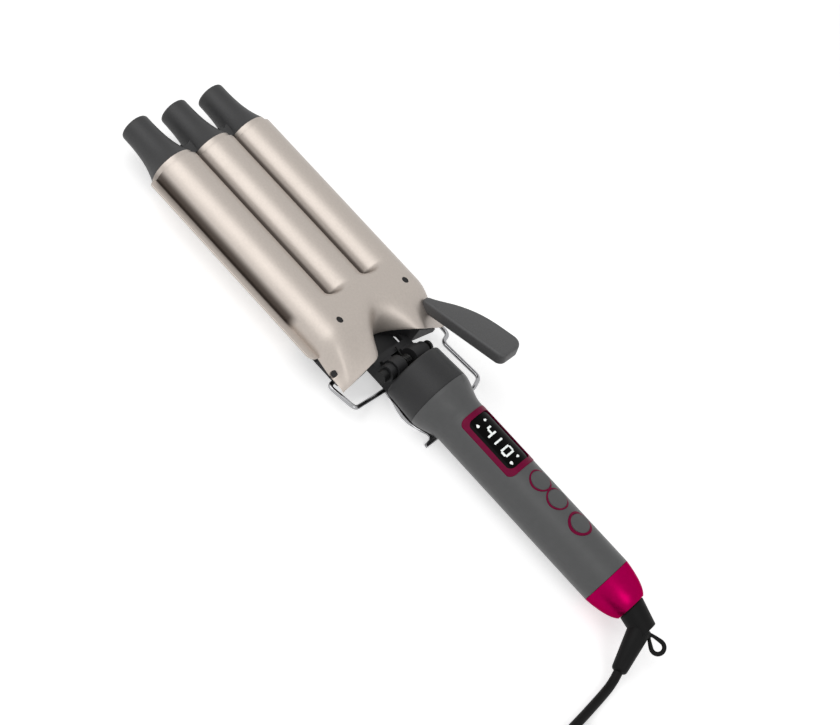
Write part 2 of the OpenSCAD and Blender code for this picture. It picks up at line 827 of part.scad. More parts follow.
module shell_hollow() {
    turned(concat(
        [[0, housing_back_x - collar_l - 1], [housing_in_r - shell_t, housing_back_x - collar_l - 1],
        [housing_in_r - shell_t, housing_back_x + 1]],
        [for (p = shell_outline(shell_t)) if (p[1] > housing_back_x) p], [[0, cap_x + 1]]));
    along_x(grip_in_r, cap_x - 1, cap_x + 1);
}

module half_space(up) {
    block(housing_x - 50, cap_x + 50, -50, 50, up ? 0 : -50, up ? 50 : 0);
}

module front_housing() {
    color(charcoal) turned([
        [housing_in_r, housing_x], [housing_front_d / 2 - 0.8, housing_x],
        [housing_front_d / 2, housing_x + 0.8], [housing_d / 2, housing_back_x],
        [housing_in_r, housing_back_x]
    ]);
}

module display_prism(grow, l, w) {
    translate([display_mid, 0, axis_h + 6]) linear_extrude(14)
        rounded_slab(l + 2 * grow, w + 2 * grow, 3 + grow);
}

module upper_shell() {
    color(grip_grey) difference() {
        union() {
            difference() {
                intersection() {
                    shell_body();
                    half_space(true);
                }
                shell_hollow();
            }
            intersection() {
                shell_body();
                for (p = SCREWS) translate([p[0], p[1], axis_h + 0.5]) cylinder(r = post_r, h = 30);
            }
        }
        display_prism(seat_gap, frame_l, frame_w);
        for (i = [0:2]) translate([BUTTON_X[i], 0, axis_h + 6])
            cylinder(r = ring_r(i) + seat_gap, h = 14);
        for (p = SCREWS) translate([p[0], p[1], axis_h]) cylinder(d = screw_d, h = 7);
    }
}

module lower_shell() {
    color(grip_grey) difference() {
        union() {
            difference() {
                intersection() {
                    shell_body();
                    half_space(false);
                }
                shell_hollow();
            }
            intersection() {
                shell_body();
                for (p = SCREWS) translate([p[0], p[1], axis_h - 30]) cylinder(r = post_r, h = 29.6);
            }
        }
        for (p = SCREWS) translate([p[0], p[1], axis_h - 40]) {
            cylinder(d = screw_d + 0.1, h = 41);
            cylinder(d = screw_d + 2, h = 40 + screw_seat_z);
        }
    }
}

module handle_screws() {
    color(steel) for (p = SCREWS) translate([p[0], p[1], axis_h]) {
        translate([0, 0, screw_seat_z - 1.05]) cylinder(d = screw_d + 1.8, h = 1);
        translate([0, 0, screw_seat_z - 0.1]) cylinder(d = screw_d - 0.05, h = screw_l);
    }
}

// The cap's outside, as shares of its length and of its narrowing
CAP_CURVE = [[0, 1], [0.2, 0.92], [0.4, 0.81], [0.6, 0.65], [0.78, 0.45], [0.9, 0.25], [0.97, 0.1], [1, 0]];

module end_cap() {
    end_r = cap_end_d / 2;
    outside = [for (c = CAP_CURVE) [end_r + (grip_r - end_r) * c[1], cap_x + cap_l * c[0]]];
    color(magenta) turned(concat(
        [[cap_in_r, cap_x - 6], [grip_in_r - fit, cap_x - 6], [grip_in_r - fit, cap_x]],
        outside,
        [[cap_bore_r, cap_end_x], [cap_bore_r, hub_x + hub_t + 0.3], [cap_in_r, hub_x + hub_t + 0.3]]
    ));
}

// ---- display and buttons ----

module grip_skin(r0, r1) {
    difference() {
        along_x(r1, grip_x, cap_x);
        along_x(r0, grip_x - 1, cap_x + 1);
    }
}

module display_frame() {
    color(magenta) intersection() {
        grip_skin(grip_in_r, grip_r + proud);
        difference() {
            display_prism(0, frame_l, frame_w);
            display_prism(0, window_l, window_w);
        }
    }
}

module display_window() {
    color(black) intersection() {
        grip_skin(grip_r - window_deep - window_t, grip_r - window_deep);
        display_prism(-seat_gap, window_l, window_w);
    }
}

module lcd_module() {
    color([0.3, 0.33, 0.33])
    block(display_mid - window_l / 2 + 2, display_mid + window_l / 2 - 2, -7.6, 7.6, board_top + 0.05, 8.9);
}

module main_board() {
    color([0.05, 0.3, 0.15])
    block(board_x, board_x + board_l, -board_w / 2, board_w / 2, board_z, board_top);
}

module tact_switches() {
    color(black) for (x = BUTTON_X) {
        block(x - 3, x + 3, -3, 3, board_top + 0.02, board_top + switch_h - 0.3);
        translate([x, 0, axis_h + board_top + switch_h - 0.3]) cylinder(r = 1.6, h = 0.3);
    }
}

function ring_r(i) = i == 2 ? ring_d / 2 + 0.5 : ring_d / 2;

module button(i) {
    color(grip_grey) translate([BUTTON_X[i], 0, axis_h]) {
        translate([0, 0, flange_top - flange_t]) cylinder(r = flange_r, h = flange_t);
        intersection() {
            translate([0, 0, flange_top - flange_t]) cylinder(d = button_d, h = 14);
            translate([0, 0, -20]) sphere(r = 20 + grip_r + proud, $fn = 96);
        }
    }
}

module button_minus() {
    button(0);
}

module button_plus() {
    button(1);
}

module button_power() {
    button(2);
}

module button_rings() {
    color(magenta) intersection() {
        grip_skin(grip_in_r, grip_r + proud);
        difference() {
            for (i = [0:2]) translate([BUTTON_X[i], 0, axis_h + 6]) cylinder(r = ring_r(i), h = 14);
            for (x = BUTTON_X) translate([x, 0, axis_h + 5]) cylinder(r = button_d / 2 + run_fit, h = 16);
        }
    }
}

// ---- the stand ----

module stand_wire() {
    route = [
        [stand_x, -arm_y - 0.5, stand_z], [stand_x, -leg_y, stand_z],
        [front_bar_x + 1.5, 3 - leg_y, stand_z], [front_bar_x, -14, bar_z], [front_bar_x, 14, bar_z],
        [back_bar_x, 14, bar_z], [back_bar_x + 1, leg_y - 10, stand_z],
        [back_bar_x - 2, leg_y - 1, stand_z], [hinge_x + 0.5, leg_y - 3, stand_z],
        [hinge_x - 1, leg_y + 4, stand_z], [stand_x, leg_y + 4, stand_z], [stand_x, arm_y + 0.5, stand_z]
    ];
    color(steel) tube(bent(route, 2.6, 5), wire_d, 10);
}

// Half outline of the foot, as shares of its length and half width
FOOT_EDGE = [
    [0, 0.5], [0.1, 0.55], [0.2, 0.63], [0.32, 0.76], [0.45, 0.84], [0.58, 0.8], [0.7, 0.64],
    [0.78, 0.5], [0.85, 0.38], [0.9, 0.38], [0.93, 0.5], [0.945, 0.86], [0.97, 0.94], [1, 0.9]
];

module foot_plan() {
    edge = [for (p = FOOT_EDGE) [foot_l * p[0], foot_w / 2 * p[1]]];
    polygon(concat(edge, [for (p = reversed(edge)) [p[0], -p[1]]]));
}

// The plate's edge turned up along both sides, highest in the middle
module foot_rim() {
    intersection() {
        linear_extrude(rim_h) difference() {
            foot_plan();
            offset(-foot_t) foot_plan();
        }
        rotate([90, 0, 0]) linear_extrude(2 * foot_w, center = true)
            polygon([[0.15 * foot_l, 0], [0.34 * foot_l, rim_h], [0.5 * foot_l, rim_h], [0.82 * foot_l, 0]]);
    }
}

module stand_foot() {
    color(steel) difference() {
        union() {
            translate([front_bar_x, 0, 0]) {
                linear_extrude(foot_t) foot_plan();
                foot_rim();
            }
            translate([front_bar_x, 0.25 * foot_w, bar_z]) rotate([90, 0, 0])
                cylinder(r = hem_r, h = 0.5 * foot_w);
        }
        translate([front_bar_x, 30, bar_z]) rotate([90, 0, 0]) cylinder(r = wire_r + fit, h = 60);
    }
}

// ---- inside the cap and the swivel ----

module brush_holder() {
    color(black) along_x_ring(slip_r + 0.3, cap_in_r - fit, cap_x - 4, hub_x - 0.5);
}

module along_x_ring(r0, r1, x0, x1) {
    difference() {
        along_x(r1, x0, x1);
        along_x(r0, x0 - 1, x1 + 1);
    }
}

module mains_leads() {
    color([0.2, 0.25, 0.6]) for (s = [-1, 1]) {
        path = [
            [board_x + board_l - 3, 4 * s, axis_h + board_z], [board_x + board_l - 3, 4 * s, axis_h + 1.5],
            [cap_x - 9, 7.4 * s, axis_h + 1.5], [cap_x - 4 - fit, 7.4 * s, axis_h + 1.5]
        ];
        tube(bent(path, 1.5, 3), lead_d, 6);
    }
}

module swivel_hub() {
    color(black) {
        along_x(slip_shaft_r, cap_x - 4, hub_x);
        along_x(hub_r, hub_x, hub_x + hub_t);
        along_x(swivel_r, hub_x + hub_t - 0.5, elbow_x - swivel_r - 0.4);
    }
}

module slip_rings() {
    color([0.8, 0.5, 0.25]) for (x = [cap_x - 1, cap_x + 4])
        along_x_ring(slip_shaft_r + 0.02, slip_r, x, x + 2.5);
}

module cord_elbow() {
    color(black) {
        along_x(swivel_r, elbow_x - swivel_r - 0.4, elbow_x);
        translate(elbow_at) sphere(r = swivel_r);
        aimed(elbow_at, relief_dir) cylinder(r1 = swivel_r, r2 = relief_start_r, h = 7.5);
    }
}

module strain_relief() {
    color(black) difference() {
        aimed(relief_root, relief_dir) {
            cylinder(r1 = relief_start_r, r2 = relief_end_r, h = relief_l - 7.5);
        }
        for (i = [0:3]) aimed(elbow_at + (13 + 3.4 * i) * relief_dir, relief_dir)
            relief_groove(1.2);
    }
}

module relief_groove(w) {
    difference() {
        cylinder(r = 9, h = w);
        translate([0, 0, -1]) cylinder(r = relief_end_r - 0.4, h = w + 2);
    }
}

module hang_loop() {
    color(black) difference() {
        union() {
            aimed(loop_at - loop_t / 2 * LOOP_AXIS, LOOP_AXIS) cylinder(d = loop_d, h = loop_t);
            aimed(elbow_at, unit(loop_at - elbow_at)) cylinder(r = 1.2, h = norm(loop_at - elbow_at) - 3);
        }
        aimed(loop_at - 5 * LOOP_AXIS, LOOP_AXIS) cylinder(d = loop_bore_d, h = 10);
        translate(elbow_at) sphere(r = swivel_r + 0.02);
        aimed(elbow_at, relief_dir) cylinder(r1 = swivel_r + 0.02, r2 = relief_start_r + 0.02, h = 7.5);
    }
}

module power_cord() {
    color(black) {
        tube(through(CORD_ROUTE, 2), cord_d);
        tube(through(TAIL_ROUTE, 2), cord_d);
    }
}

// The turns of the coil as one solid
module cord_coil() {
    w = (coil_w - cord_d) / 2;
    h = (coil_h - cord_d) / 2;
    color(black) translate(coil_at) rotate_extrude($fn = 96) translate([coil_d / 2, 0]) {
        square([2 * w + cord_d / 3, 2 * h + cord_d / 3], center = true);
        for (x = [-w:turn_step:w + 0.01], y = [-h, h]) translate([x, y]) circle(d = cord_d);
    }
}

module coil_tie() {
    gap = 0.5;
    color(black) translate(coil_at - [0, coil_d / 2, 0]) difference() {
        cube([7, coil_w + 2 * (gap + tie_t), coil_h + 2 * (0.05 + tie_t)], center = true);
        cube([8, coil_w + 2 * gap, coil_h + 0.1], center = true);
    }
}

module plug_body() {
    color(black) translate(plug_at) rotate([0, 0, 180]) {
        translate([-30, 0, 0]) rotate([0, 90, 0]) linear_extrude(22) rounded_slab(13.6, 24, 3);
        translate([-8, 0, 0]) rotate([0, 90, 0]) cylinder(r1 = 6, r2 = cord_d / 2 + 0.8, h = 8);
    }
}

module plug_blades() {
    color(steel) translate(plug_at) rotate([0, 0, 180]) for (s = [-1, 1])
        translate([-47, s * 6.35 - 0.75, -3.175]) cube([17, 1.5, 6.35]);
}

barrel_left();
barrel_centre();
barrel_right();
spreader_left();
spreader_centre();
spreader_right();
heater_left();
heater_centre();
heater_right();
cool_tips();
barrel_base();
neck();
thermal_fuse();
heater_leads();
clamp_plate();
clamp_collar();
clamp_bracket();
collar_screws();
lever();
lever_rivet();
hinge_pin();
clamp_spring();
front_housing();
upper_shell();
lower_shell();
handle_screws();
end_cap();
display_frame();
display_window();
lcd_module();
main_board();
tact_switches();
button_minus();
button_plus();
button_power();
button_rings();
stand_wire();
stand_foot();
brush_holder();
mains_leads();
swivel_hub();
slip_rings();
cord_elbow();
strain_relief();
hang_loop();
power_cord();
cord_coil();
coil_tie();
plug_body();
plug_blades();
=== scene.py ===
# %% [markdown]
# # A hair waver, dressed in Blender
#
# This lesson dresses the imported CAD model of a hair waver. The solids already have the right
# sizes, so Blender's work is the surface: a seamless clamp, a moulded lever, lit digits, a real
# cord, a bent wire, and a finish for every material. Blender works in metres, in the CAD's
# frame. Most measures below are in millimetres, and are multiplied by MM where they are used.

import json
import math

import bmesh
import bpy
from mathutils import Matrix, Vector


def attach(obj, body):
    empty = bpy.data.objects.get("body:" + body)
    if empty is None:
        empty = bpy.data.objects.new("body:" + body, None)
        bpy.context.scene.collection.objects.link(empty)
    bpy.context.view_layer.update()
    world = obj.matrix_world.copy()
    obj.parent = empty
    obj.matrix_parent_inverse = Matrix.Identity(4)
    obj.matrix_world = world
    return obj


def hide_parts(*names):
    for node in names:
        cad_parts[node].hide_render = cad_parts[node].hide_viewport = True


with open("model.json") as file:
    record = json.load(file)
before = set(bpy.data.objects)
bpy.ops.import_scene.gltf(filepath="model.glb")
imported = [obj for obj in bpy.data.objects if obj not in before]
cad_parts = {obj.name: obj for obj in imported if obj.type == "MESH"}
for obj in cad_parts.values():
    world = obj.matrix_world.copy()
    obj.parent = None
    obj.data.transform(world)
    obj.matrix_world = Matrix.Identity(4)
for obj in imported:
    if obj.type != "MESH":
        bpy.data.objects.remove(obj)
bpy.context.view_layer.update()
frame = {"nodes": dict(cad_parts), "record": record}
MM = 0.001

# %% [markdown]
# ## Camera
#
# The camera comes first, because the cord is laid out by what it sees. Its place and its turn
# are those from which the waver lies across the picture from the upper left to the lower right.

# %% Camera
CAMERA_AT = Vector((0.1142, -0.5595, 0.5903))
CAMERA_TURN = [math.radians(a) for a in (38.586, -26.286, 41.601)]
CAMERA_LENS = 69.775

bpy.ops.object.select_all(action="DESELECT")
bpy.ops.object.camera_add(location=CAMERA_AT, rotation=CAMERA_TURN)
camera = bpy.context.object
camera.name = "camera"
camera.data.sensor_width = 36
camera.data.lens = CAMERA_LENS
camera.data.clip_start = 0.01
bpy.context.scene.camera = camera
print("camera at", [round(v, 3) for v in camera.location])

# %% [markdown]
# ## The cord
#
# A mains cord is one fixed length of rubber. It leaves the sleeve along the sleeve's own line,
# comes down to the table, and runs to a neat coil of nine turns in two layers, held by a tie.
# A curve with automatic handles bends as such a cord does, so it is drawn as one spline. Its
# thickness is each knot's own radius, so that the curve's box is no larger than the cord.

# %% Cord route
CORD_D = 4.8 * MM
AXIS_Z = 19.5
SWIVEL_AT = Vector((155, 0, AXIS_Z)) * MM
SLEEVE_DIR = Vector((0.33, -0.80, -0.50)).normalized()
SLEEVE_REACH = 27.7
SLEEVE_END = SWIVEL_AT + SLEEVE_REACH * MM * SLEEVE_DIR
ON_TABLE_Z = 2.5
ROUTE = [
    (165.36, -25.76, 3.9), (166.14, -29.73, 2.85), (166.5, -34, ON_TABLE_Z),
    (166.75, -41, ON_TABLE_Z), (166.9, -48, ON_TABLE_Z), (167, -55, ON_TABLE_Z),
    (167, -62, 2.6), (167, -69, 2.9), (167, -77, 3.1),
]
TAIL = [
    (167, -97, 8), (167, -109, 7), (167, -120, 5.4), (169.8, -130.5, 4.6),
    (177.5, -138.2, 5.0), (186.5, -141, 6.2), (192, -141, 7),
]
LAPS_IN = 4
LAPS = 2 * LAPS_IN + 1
TURN_STEP = 4.9
INNER_TURN = 19.0
OUTER_TURN = INNER_TURN + LAPS_IN * TURN_STEP
COIL_X, COIL_Y = 167, -86
COIL_AT = Vector((COIL_X + OUTER_TURN, COIL_Y, 0))
LOW_Z, HIGH_Z = 3.1, 8.0
KNOT_STEP = 20


def ease(a, b, x):
    """How far x is on the way from a to b, from 0 to 1, with a slow start and a slow end."""
    s = min(1.0, max(0.0, (x - a) / (b - a)))
    return s * s * (3 - 2 * s)


def coil_point(lap, phi):
    """A point of the coil: five turns inwards on the table, then four outwards on top of them."""
    if lap < LAPS_IN:
        radius = OUTER_TURN - TURN_STEP * (lap + ease(180, 360, phi))
        z = LOW_Z
    elif lap == LAPS_IN:
        radius = INNER_TURN
        z = LOW_Z + (HIGH_Z - LOW_Z) * ease(180, 360, phi)
    else:
        radius = INNER_TURN + TURN_STEP * (lap - LAPS_IN - 1 + ease(60, 240, phi))
        z = HIGH_Z
    a = math.radians(180 + phi)
    return COIL_AT + Vector((radius * math.cos(a), radius * math.sin(a), z))


coil = [coil_point(lap, phi) for lap in range(LAPS) for phi in range(0, 360, KNOT_STEP)]
coil.append(coil_point(LAPS - 1, 360))
cord_points = [SLEEVE_END] + [Vector(p) * MM for p in ROUTE + coil + TAIL]
cord_length = sum((b - a).length for a, b in zip(cord_points, cord_points[1:]))
print("cord:", len(cord_points), "points,", round(cord_length, 3), "m")

# %% Cord curve
cord_curve = bpy.data.curves.new("mains_cord", "CURVE")
cord_curve.dimensions = "3D"
cord_curve.resolution_u = 3
cord_curve.bevel_depth = 1.0
cord_curve.bevel_resolution = 4
cord_curve.use_fill_caps = True
spline = cord_curve.splines.new("BEZIER")
spline.bezier_points.add(len(cord_points) - 1)
for knot, place in zip(spline.bezier_points, cord_points):
    knot.co = place
    knot.radius = CORD_D / 2
    knot.handle_left_type = knot.handle_right_type = "AUTO"
mains_cord = bpy.data.objects.new("mains_cord", cord_curve)
bpy.context.collection.objects.link(mains_cord)
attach(mains_cord, "swivel")
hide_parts("power_cord", "cord_coil")

# %% [markdown]
# ## Table and light
#
# The waver lies on a white table under two soft lamps. Where the camera, a mirror or a pane
# shows them, the table glows and the world is white. For all other light the table only reflects
# and the world is weaker, so that every colour renders about as it is written. The table still
# holds the waver's shadow.

# %% Table
TABLE_GLOW = 0.5
bpy.ops.object.select_all(action="DESELECT")
bpy.ops.mesh.primitive_plane_add(size=8, location=(0, 0, 0))
table = bpy.context.object
table.name = "table"


def seen_or_mirrored(tree):
    """1 where the camera, a mirror or a pane shows the surface, and 0 where it only lights."""
    path = tree.nodes.new("ShaderNodeLightPath")
    total = path.outputs["Is Camera Ray"]
    for name in ("Is Glossy Ray", "Is Transmission Ray"):
        add = tree.nodes.new("ShaderNodeMath")
        add.operation = "MAXIMUM"
        tree.links.new(total, add.inputs[0])
        tree.links.new(path.outputs[name], add.inputs[1])
        total = add.outputs[0]
    return total


def strength_of(tree, low, high):
    """A strength that is high where the surface is seen, and low where it only lights."""
    scale = tree.nodes.new("ShaderNodeMapRange")
    scale.inputs["To Min"].default_value = low
    scale.inputs["To Max"].default_value = high
    tree.links.new(seen_or_mirrored(tree), scale.inputs["Value"])
    return scale.outputs["Result"]


table_white = bpy.data.materials.new("table_white")
table_white.use_nodes = True
tree = table_white.node_tree
shader = tree.nodes["Principled BSDF"]
shader.inputs["Base Color"].default_value = (0.88, 0.88, 0.88, 1)
shader.inputs["Roughness"].default_value = 0.9
shader.inputs["Emission Color"].default_value = (1, 1, 1, 1)
tree.links.new(strength_of(tree, 0.0, TABLE_GLOW), shader.inputs["Emission Strength"])
table.data.materials.append(table_white)

# %% World and lamps
WORLD_LIGHT, WORLD_SEEN = 0.42, 1.0
world = bpy.data.worlds.new("studio")
bpy.context.scene.world = world
world.use_nodes = True
tree = world.node_tree
tree.nodes["Background"].inputs["Color"].default_value = (1, 1, 1, 1)
tree.links.new(strength_of(tree, WORLD_LIGHT, WORLD_SEEN),
    tree.nodes["Background"].inputs["Strength"])


def lamp(name, place, aim, size, watts):
    """A square soft lamp that points at aim. place, aim and size are in metres."""
    bpy.ops.object.select_all(action="DESELECT")
    turn = (Vector(place) - Vector(aim)).to_track_quat("Z", "Y").to_euler()
    bpy.ops.object.light_add(type="AREA", location=place, rotation=turn)
    light = bpy.context.object
    light.name = name
    light.data.size = size
    light.data.energy = watts
    print("lamp", name, watts, "W")


lamp("key_lamp", (-0.55, -0.6, 1.0), (-0.05, 0, 0), 1.1, 6.5)
lamp("end_lamp", (0.75, -0.4, 0.6), (0.05, 0, 0), 0.45, 1.5)
bpy.context.scene.view_settings.view_transform = "Standard"

# %% [markdown]
# ## Finishes
#
# Every finish is a small node tree that reads Object coordinates, so that its grain keeps its
# real size on every piece. One helper makes the shader and one a noise pattern. Three more let
# the pattern do what wear and grain do: tint the colour, vary the gloss, and raise a relief.

# %% Helpers for finishes
FINISHES = {}


def finish(name, colour, rough, metal=0.0, **sockets):
    """A new material with one Principled shader, whose plain numbers sit on its own sockets."""
    mat = bpy.data.materials.new(name)
    mat.use_nodes = True
    shader = mat.node_tree.nodes["Principled BSDF"]
    shader.inputs["Base Color"].default_value = (*colour, 1)
    shader.inputs["Roughness"].default_value = rough
    shader.inputs["Metallic"].default_value = metal
    for socket, value in sockets.items():
        shader.inputs[socket.replace("_", " ")].default_value = value
    FINISHES[name] = mat
    return mat


def noise(mat, scale, detail=3.0, stretch=(1, 1, 1)):
    """A noise pattern over Object coordinates. scale is in waves per metre."""
    nodes, links = mat.node_tree.nodes, mat.node_tree.links
    place = nodes.new("ShaderNodeTexCoord")
    mapping = nodes.new("ShaderNodeMapping")
    mapping.inputs["Scale"].default_value = stretch
    pattern = nodes.new("ShaderNodeTexNoise")
    pattern.inputs["Scale"].default_value = scale
    pattern.inputs["Detail"].default_value = detail
    links.new(place.outputs["Object"], mapping.inputs["Vector"])
    links.new(mapping.outputs["Vector"], pattern.inputs["Vector"])
    return pattern.outputs["Fac"]


def ramp(mat, fac, low, high):
    """Turns a pattern into a colour between low and high."""
    node = mat.node_tree.nodes.new("ShaderNodeValToRGB")
    node.color_ramp.elements[0].position = 0.3
    node.color_ramp.elements[1].position = 0.7
    node.color_ramp.elements[0].color = (*low, 1)
    node.color_ramp.elements[1].color = (*high, 1)
    mat.node_tree.links.new(fac, node.inputs["Fac"])
    return node.outputs["Color"]


def tint(mat, fac, low, high):
    """The pattern colours the surface."""
    shader = mat.node_tree.nodes["Principled BSDF"]
    mat.node_tree.links.new(ramp(mat, fac, low, high), shader.inputs["Base Color"])


def vary_gloss(mat, fac, low, high):
    """The pattern makes the surface a little smoother or rougher."""
    node = mat.node_tree.nodes.new("ShaderNodeMapRange")
    node.inputs["To Min"].default_value = low
    node.inputs["To Max"].default_value = high
    mat.node_tree.links.new(fac, node.inputs["Value"])
    shader = mat.node_tree.nodes["Principled BSDF"]
    mat.node_tree.links.new(node.outputs["Result"], shader.inputs["Roughness"])


def relief(mat, fac, depth):
    """The pattern raises the surface by depth, in metres."""
    nodes, links = mat.node_tree.nodes, mat.node_tree.links
    bump = nodes.new("ShaderNodeBump")
    bump.inputs["Strength"].default_value = 1.0
    bump.inputs["Distance"].default_value = depth
    links.new(fac, bump.inputs["Height"])
    links.new(bump.outputs["Normal"], nodes["Principled BSDF"].inputs["Normal"])


def shades(colour, spread):
    """A darker and a lighter shade of a colour."""
    return [c * (1 - spread) for c in colour], [min(1, c * (1 + spread)) for c in colour]


# %% [markdown]
# The clamp and the barrels carry a champagne coating: a metallic lacquer with tiny flakes, baked
# on to thin sheet. It is satin, so its highlights are broad. Shade is painted into it as brown in
# the grooves between the ribs and in a narrow band above each lip, where the sheet turns away
# into shadow. This painted shade lies only there, and the collar is plain. Where the painted
# shade lies is given in metres, as the shader reads it.

# %% Champagne coating
CHAMPAGNE = (0.50, 0.448, 0.405)
GROOVE_Y = 0.0138
GROOVE_SIDE, GROOVE_FLOOR = 0.0040, 0.0008
COLLAR_START, RIBS_END = -0.0600, -0.0665
BAND_TOP, BAND_FULL = 0.0392, 0.0410
LIP_FULL, LIP_TOP = 0.0420, 0.0428
# painted shade: the brown that stands for shade in the grooves and above the lips
SHADE_BROWN = (0.035, 0.023, 0.016)
SHADE_SHARE = 0.92


def between(mat, value, zero_at, one_at):
    """A factor that goes softly from 0, where value is zero_at, to 1, where it is one_at."""
    node = mat.node_tree.nodes.new("ShaderNodeMapRange")
    node.interpolation_type = "SMOOTHSTEP"
    node.inputs["From Min"].default_value = zero_at
    node.inputs["From Max"].default_value = one_at
    mat.node_tree.links.new(value, node.inputs["Value"])
    return node.outputs[0]


def worked(mat, operation, a, b=None):
    """One Math node. a and b are sockets or plain numbers."""
    node = mat.node_tree.nodes.new("ShaderNodeMath")
    node.operation = operation
    for socket, value in zip(node.inputs, (a, b)):
        if isinstance(value, float):
            socket.default_value = value
        elif value is not None:
            mat.node_tree.links.new(value, socket)
    return node.outputs[0]


def paint_groove_shade(mat):
    """Paints shade, as brown, into the grooves between the ribs and into the band above each lip.
    """
    nodes, links = mat.node_tree.nodes, mat.node_tree.links
    place = nodes.new("ShaderNodeTexCoord")
    split = nodes.new("ShaderNodeSeparateXYZ")
    links.new(place.outputs["Object"], split.inputs["Vector"])
    aside = worked(mat, "ABSOLUTE", split.outputs["Y"])
    from_groove = worked(mat, "ABSOLUTE", worked(mat, "SUBTRACT", aside, GROOVE_Y))
    groove = between(mat, from_groove, GROOVE_SIDE, GROOVE_FLOOR)
    below_top = between(mat, aside, BAND_TOP, BAND_FULL)
    above_lip = worked(mat, "MULTIPLY", below_top, between(mat, aside, LIP_TOP, LIP_FULL))
    ribbed = between(mat, split.outputs["X"], COLLAR_START, RIBS_END)
    # painted shade: brown where the grooves and the band above each lip lie in shade
    painted_shade = worked(mat, "MAXIMUM", worked(mat, "MULTIPLY", groove, ribbed),
        worked(mat, "MULTIPLY", above_lip, ribbed))
    blend = nodes.new("ShaderNodeMix")
    blend.data_type = "RGBA"
    shader = nodes["Principled BSDF"]
    plain = shader.inputs["Base Color"].links[0].from_socket
    links.new(worked(mat, "MULTIPLY", painted_shade, SHADE_SHARE), blend.inputs["Factor"])
    links.new(plain, blend.inputs["A"])
    blend.inputs["B"].default_value = (*SHADE_BROWN, 1)
    links.new(blend.outputs["Result"], shader.inputs["Base Color"])


coat = finish("champagne_coat", CHAMPAGNE, 0.45, metal=0.75, Coat_Weight=0.1, Coat_Roughness=0.3)
tint(coat, noise(coat, 900, 2), *shades(CHAMPAGNE, 0.035))
paint_groove_shade(coat)
vary_gloss(coat, noise(coat, 60, 3), 0.42, 0.48)
relief(coat, noise(coat, 5200, 1), 0.000004)

# %% [markdown]
# What gets hot, or sits beside it, is a filled plastic with a dry, fine grain. It is one plastic
# in four shades, from nearly black at the hinge to dark grey at the lever. Painted shade makes
# the hinge's recess nearly black, and painted light makes the lever lighter. The grip is
# smoother. The swivel, its sleeve and the cord are black, and the cap and the frames are magenta.

# %% Plastics
def grainy(name, colour, rough, gloss):
    """A filled plastic, whose grain shows in its shade and its relief."""
    mat = finish(name, colour, rough, Specular_IOR_Level=gloss)
    tint(mat, noise(mat, 1800, 2), *shades(colour, 0.12))
    relief(mat, noise(mat, 2600, 2), 0.00002)


# painted shade: the hinge's near black is shade painted into its recess
grainy("hinge_plastic_painted_shade", (0.016, 0.016, 0.017), 0.55, 0.3)
grainy("housing_plastic", (0.023, 0.023, 0.024), 0.5, 0.3)
grainy("heatproof_plastic", (0.032, 0.032, 0.033), 0.5, 0.4)
# painted light: the lever is the same plastic, painted lighter where light falls on it
grainy("lever_plastic_painted_light", (0.080, 0.080, 0.081), 0.5, 0.4)

GRIP = (0.078, 0.079, 0.080)
grip = finish("grip_plastic", GRIP, 0.42, Specular_IOR_Level=0.4)
tint(grip, noise(grip, 240, 3), *shades(GRIP, 0.04))
vary_gloss(grip, noise(grip, 90, 2), 0.38, 0.46)
relief(grip, noise(grip, 3600, 1), 0.000006)

BLACK = (0.006, 0.006, 0.006)
black = finish("black_plastic", BLACK, 0.4, Specular_IOR_Level=0.15)
relief(black, noise(black, 2400, 2), 0.00001)

rubber = finish("black_rubber", (0.005, 0.005, 0.005), 0.5, Specular_IOR_Level=0.12)
relief(rubber, noise(rubber, 1500, 3), 0.00002)
vary_gloss(rubber, noise(rubber, 300, 2), 0.48, 0.62)

MAGENTA = (0.33, 0.0, 0.062)
magenta = finish("magenta_plastic", MAGENTA, 0.36, metal=1.0, Specular_Tint=(0.8, 0.3, 0.5, 1))
tint(magenta, noise(magenta, 500, 2), *shades(MAGENTA, 0.05))
relief(magenta, noise(magenta, 2600, 1), 0.000005)

FRAME_MAGENTA = (0.17, 0.0, 0.034)
magenta_frame = finish("magenta_frame", FRAME_MAGENTA, 0.4, Specular_IOR_Level=0.1)
tint(magenta_frame, noise(magenta_frame, 500, 2), *shades(FRAME_MAGENTA, 0.08))

# %% [markdown]
# The small metal pieces: bright drawn wire for the stand, plain screws, a blackened pin and
# spring at the hinge, cast aluminium and a fuse inside the barrels, and the bare metals of the
# plug and the swivel's contacts.

# %% Metals
wire_steel = finish("wire_steel", (0.36, 0.36, 0.37), 0.22, metal=1.0)
vary_gloss(wire_steel, noise(wire_steel, 900, 2, (0.05, 1, 1)), 0.14, 0.28)
screw_steel = finish("screw_steel", (0.30, 0.30, 0.31), 0.36, metal=1.0)
vary_gloss(screw_steel, noise(screw_steel, 1500, 2), 0.28, 0.42)
blackened_steel = finish("blackened_steel", (0.012, 0.012, 0.012), 0.42, metal=0.6)
vary_gloss(blackened_steel, noise(blackened_steel, 1500, 2), 0.36, 0.5)
spreader_alloy = finish("spreader_alloy", (0.62, 0.62, 0.63), 0.45, metal=1.0)
relief(spreader_alloy, noise(spreader_alloy, 1200, 3), 0.00003)
fuse_metal = finish("fuse_metal", (0.6, 0.58, 0.55), 0.3, metal=1.0)
vary_gloss(fuse_metal, noise(fuse_metal, 1500), 0.25, 0.4)
contact_metal = finish("contact_metal", (0.72, 0.44, 0.2), 0.28, metal=1.0)
vary_gloss(contact_metal, noise(contact_metal, 1500), 0.2, 0.35)
blade_metal = finish("blade_metal", (0.62, 0.58, 0.5), 0.25, metal=1.0)
vary_gloss(blade_metal, noise(blade_metal, 700, 2, (1, 0.1, 1)), 0.18, 0.34)

# %% [markdown]
# The display's window, bars and glass, and what is inside: the green board, the woven sleeves
# of the leads, and the ceramic of the heating strips.

